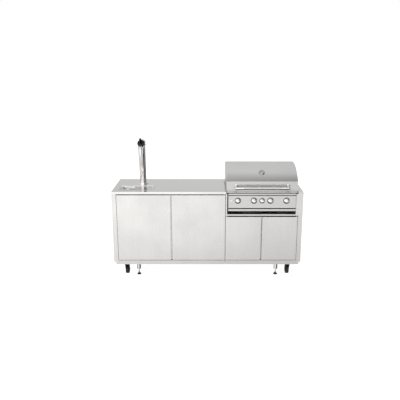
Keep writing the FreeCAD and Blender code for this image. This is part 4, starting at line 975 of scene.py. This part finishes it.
class ISLAND_OT_beer_tower(bpy.types.Operator):
    """Finish the beer column, tap and drip tray, and add their trim"""

    bl_idname = "island.beer_tower"
    bl_label = "Beer tower"

    def execute(self, context):
        # The column gets lighter steel: painted light.
        finish_nodes("column steel", "beer_column")
        finish_nodes("chrome", "tap_body", "flow_lever")
        finish_nodes("black gloss", "tap_badge", "tap_handle")
        finish_nodes("worktop sheet", "drip_pan", "drip_grate")
        low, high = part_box("tap_badge")
        r = (high.x - low.x) / 2 / mm
        rim = rounded([(r - 1.5, -1.2), (r + 1.0, -1.2), (r + 1.0, 1.6), (r, 2.2), (r - 0.4, 1.2)], 0.6)
        centre = (column_x, high.y, middle("tap_badge").z)
        turned_piece("badge_rim", "chrome", "island", rim, centre, (0, -1, 0), 72)
        column_screws()
        low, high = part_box("drip_pan")
        w = 1.2 * mm
        seal = bmesh.new()
        for a, b in (((low.x - w, low.y - w), (high.x + w, low.y + w / 2)),
                     ((low.x - w, high.y - w / 2), (high.x + w, high.y + w)),
                     ((low.x - w, low.y + w / 2), (low.x + w / 2, high.y - w / 2)),
                     ((high.x - w / 2, low.y + w / 2), (high.x + w, high.y - w / 2))):
            slab(seal, (*a, worktop_z), (*b, worktop_z + 0.8 * mm))
        make_piece("drip_pan_seal", seal, "grey sealant", "island")
        rinser()
        tap_trim()
        return {"FINISHED"}


def column_screws():
    """Four screws in the column's flange."""
    screw = rounded([(0, 0.5), (1.6, 0.5), (1.6, 1.5), (3.0, 1.5), (3.4, 0)], 0.4)
    reach, flange_t = 41 * mm, 8 * mm
    flange_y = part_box("beer_column")[1].y - 50 * mm
    screws = bmesh.new()
    for i in range(4):
        angle = math.radians(45 + 90 * i)
        x, y = column_x + reach * math.cos(angle), flange_y + reach * math.sin(angle)
        turned(screws, screw, (x, y, worktop_z + flange_t), (0, 0, 1), 20)
    make_piece("column_screws", screws, "polished steel", "island")


def rinser():
    """Polished dish with a star of arms for rinsing glasses and its drain, pressed into the grating."""
    low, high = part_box("drip_pan")
    place = Vector((low.x + 110 * mm, high.y - 95.5 * mm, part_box("drip_grate")[1].z - 4.5 * mm))
    basin = rounded([(72.3, 2.9), (72.3, 4.7), (67, 4.7), (28, -6.8), (8.2, -6.8)], 2.0, 6)
    under = [(8.2, -7.3), (28.4, -7.3), (66.3, 3.6), (67, 2.9)]
    turned_piece("rinser_dish", "chrome", "drip_grate", basin + under, place, (0, 0, 1), 72)
    star = bmesh.new()
    arm_low = place + Vector((6, -1.6, 2.2)) * mm
    arm_high = place + Vector((66, 1.6, 4.4)) * mm
    for i in range(6):
        slab(star, arm_low, arm_high, Matrix.Rotation(i * math.pi / 3, 3, "Z"), place)
    nozzle = rounded([(9.5, -6.8), (9.5, 4.6), (6.5, 6.0), (0, 6.2)], 0.8)
    turned(star, nozzle, place, (0, 0, 1), 40)
    ring = [(31, 2.4), (34, 2.4), (34, 4.6), (31, 4.6), (31, 2.4)]
    turned(star, ring, place, (0, 0, 1), 64)
    make_piece("rinser_star", star, "polished steel", "drip_grate", bevel=0.4 * mm)
    slope = math.atan(11.5 / 39)
    plug = rounded([(21, -1), (21, 1.4), (18.5, 2.2), (0, 2.2)], 0.6)
    seat = place + Vector((-46, 4, -1.6)) * mm
    out = (math.sin(slope), 0, math.cos(slope))
    turned_piece("rinser_drain", "foot rubber", "drip_grate", plug, seat, out)


def tap_trim():
    """Collar behind the tap, rings on its body and spout, and a ferrule on its handle."""
    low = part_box("tap_body")[0]
    axis_y = low.y + 14 * mm
    rings = bmesh.new()
    tip = rounded([(7.6, 0.2), (9.4, 0.2), (9.6, 3.6), (7.9, 4.4)], 0.7)
    turned(rings, tip, (column_x, axis_y, low.z), (0, 0, 1), 40)
    band = rounded([(13.8, -2.0), (15.2, -2.0), (15.2, 2.0), (13.8, 2.0)], 0.8)
    for height in (-9.5, 13.5):
        turned(rings, band, (column_x, axis_y, tap_axis_z + height * mm), (0, 0, 1), 48)
    collar = rounded([(7.8, 19.5), (13.0, 19.5), (16.0, 24.5), (16.0, 38), (7.8, 38)], 1.5)
    turned(rings, collar, (column_x, axis_y + 14 * mm, tap_axis_z), (0, 1, 0), 6)
    make_piece("tap_rings", rings, "chrome", "island", 30)
    pivot = (column_x, axis_y, tap_axis_z + 24.5 * mm)
    lean = math.radians(19)
    sleeve = rounded([(4.4, 15.5), (6.6, 15.5), (7.0, 17.5), (8.9, 21.6), (8.9, 22.1)], 0.6)
    along = (0, -math.sin(lean), math.cos(lean))
    turned_piece("tap_ferrule", "chrome", "tap_handle", sleeve, pivot, along, 40)
    lever_tip(axis_y)


def lever_tip(axis_y):
    """Black plastic ball pressed over the end of the flow lever."""
    r, steps = 5.2, 12
    profile = []
    for i in range(steps):
        angle = math.pi * (0.12 + 0.88 * i / (steps - 1))
        profile.append((r * math.sin(angle) if i < steps - 1 else 0, -r * math.cos(angle)))
    lever_foot, lever_end = Vector((17.8, 0, 4.2)), Vector((54, 0, 40))
    place = Vector((column_x, axis_y, tap_axis_z)) + lever_end * mm
    turned_piece("flow_lever_tip", "black gloss", "flow_lever", profile, place, lever_end - lever_foot, 32)


class ISLAND_OT_stage(bpy.types.Operator):
    """Set up the floor, the studio light and the camera"""

    bl_idname = "island.stage"
    bl_label = "Stage"

    def execute(self, context):
        scene = context.scene
        setting = scene.island_stage
        half = 14.0
        eye_x, frame_shift = -0.0255, -0.0125
        corners = ((-half, -half, 0), (half, -half, 0), (half, half, 0), (-half, half, 0))
        mesh = bpy.data.meshes.new("studio_floor")
        mesh.from_pydata(corners, [], [(0, 1, 2, 3)])
        floor = new_object("studio_floor", mesh)
        mesh.materials.append(floor_material())
        floor.visible_glossy = False
        studio_world(scene, setting)
        key_light()
        camera = bpy.data.cameras.new("camera")
        camera.lens = setting.lens
        camera.sensor_width = 36
        camera.shift_x = frame_shift
        eye = new_object("camera", camera)
        eye.location = (eye_x, door_front - setting.eye_distance, setting.eye_height)
        eye.rotation_euler = (math.pi / 2 - setting.tilt, 0, 0)
        scene.camera = eye
        scene.view_settings.view_transform = "Standard"
        scene.view_settings.look = "None"
        return {"FINISHED"}


def floor_material():
    """White floor that lights what stands on it; reflections see the studio behind it instead."""
    material, tree, shader = new_material("studio floor", 0.0, 0.9, (0.3, 0.3, 0.3))
    shader.inputs["Specular IOR Level"].default_value = 0.0
    shader.inputs["Emission Color"].default_value = (1, 1, 1, 1)
    seen = tree.nodes.new("ShaderNodeLightPath").outputs["Is Camera Ray"]
    link(math_node(tree, "MAXIMUM", seen, floor_level), shader.inputs["Emission Strength"])
    return material


def studio_world(scene, setting):
    """Light from all round, brightest at the front horizon and darkest at the right of the front."""
    world = bpy.data.worlds.new("studio")
    world.use_nodes = True
    scene.world = world
    tree = world.node_tree
    background = tree.nodes["Background"]
    background.inputs["Color"].default_value = (1, 1, 1, 1)
    x, y, z = split(tree, tree.nodes.new("ShaderNodeTexCoord").outputs["Generated"])
    lift = spread(tree, math_node(tree, "ARCSINE", z), -math.pi / 2, math.pi / 2)
    side = spread(tree, x, -1.0, 1.0)
    halves = []
    blend = 0.12
    for levels, across, way in ((front_levels, front_across, 1), (back_levels, back_across, -1)):
        half = times(tree, ramp_through(tree, lift, levels), ramp_through(tree, side, across))
        halves.append(times(tree, half, spread(tree, y, way * blend, -way * blend)))
    level = times(tree, math_node(tree, "ADD", *halves), sky_level * setting.studio_light)
    seen = tree.nodes.new("ShaderNodeLightPath").outputs["Is Camera Ray"]
    link(math_node(tree, "MAXIMUM", level, seen), background.inputs["Strength"])


def key_light():
    """Large square light at the front left, aimed at the island."""
    light = bpy.data.lights.new("key_softbox", "AREA")
    light.size = 2.4
    light.energy = 60
    lamp = new_object("key_softbox", light)
    lamp.location = (-3.4, -3.6, 3.4)
    lamp.visible_glossy = False
    aim = Vector((0, 0, 0.6)) - lamp.location
    lamp.rotation_euler = aim.to_track_quat("-Z", "Y").to_euler()


class ISLAND_PT_panel(bpy.types.Panel):
    """Lists the island's pieces and settings"""

    bl_label = "Outdoor kitchen island"
    bl_idname = "ISLAND_PT_panel"
    bl_space_type = "VIEW_3D"
    bl_region_type = "UI"
    bl_category = "Island"

    def draw(self, context):
        layout = self.layout
        scene = context.scene
        for group in (scene.island_finish, scene.island_fittings, scene.island_stage):
            box = layout.box()
            for key in group.__annotations__:
                box.prop(group, key)
        for operator in operators:
            layout.operator(operator.bl_idname)


operators = [ISLAND_OT_cabinet, ISLAND_OT_doors, ISLAND_OT_running_gear, ISLAND_OT_grill_front,
             ISLAND_OT_hood, ISLAND_OT_fire, ISLAND_OT_beer_tower, ISLAND_OT_stage]
groups = {"island_finish": IslandFinish, "island_fittings": IslandFittings, "island_stage": IslandStage}


def register():
    """Registers the classes and attaches the settings to the scene."""
    for item in [*groups.values(), *operators, ISLAND_PT_panel]:
        bpy.utils.register_class(item)
    for name, item in groups.items():
        setattr(bpy.types.Scene, name, bpy.props.PointerProperty(type=item))


def unregister():
    """Takes the settings and classes away again."""
    for name in groups:
        delattr(bpy.types.Scene, name)
    for item in [ISLAND_PT_panel, *reversed(operators), *groups.values()]:
        bpy.utils.unregister_class(item)


def main():
    """Builds the whole scene."""
    register()
    bpy.ops.island.cabinet()
    bpy.ops.island.doors()
    bpy.ops.island.running_gear()
    bpy.ops.island.grill_front()
    bpy.ops.island.hood()
    bpy.ops.island.fire()
    bpy.ops.island.beer_tower()
    bpy.ops.island.stage()


if __name__ == "__main__":
    main()
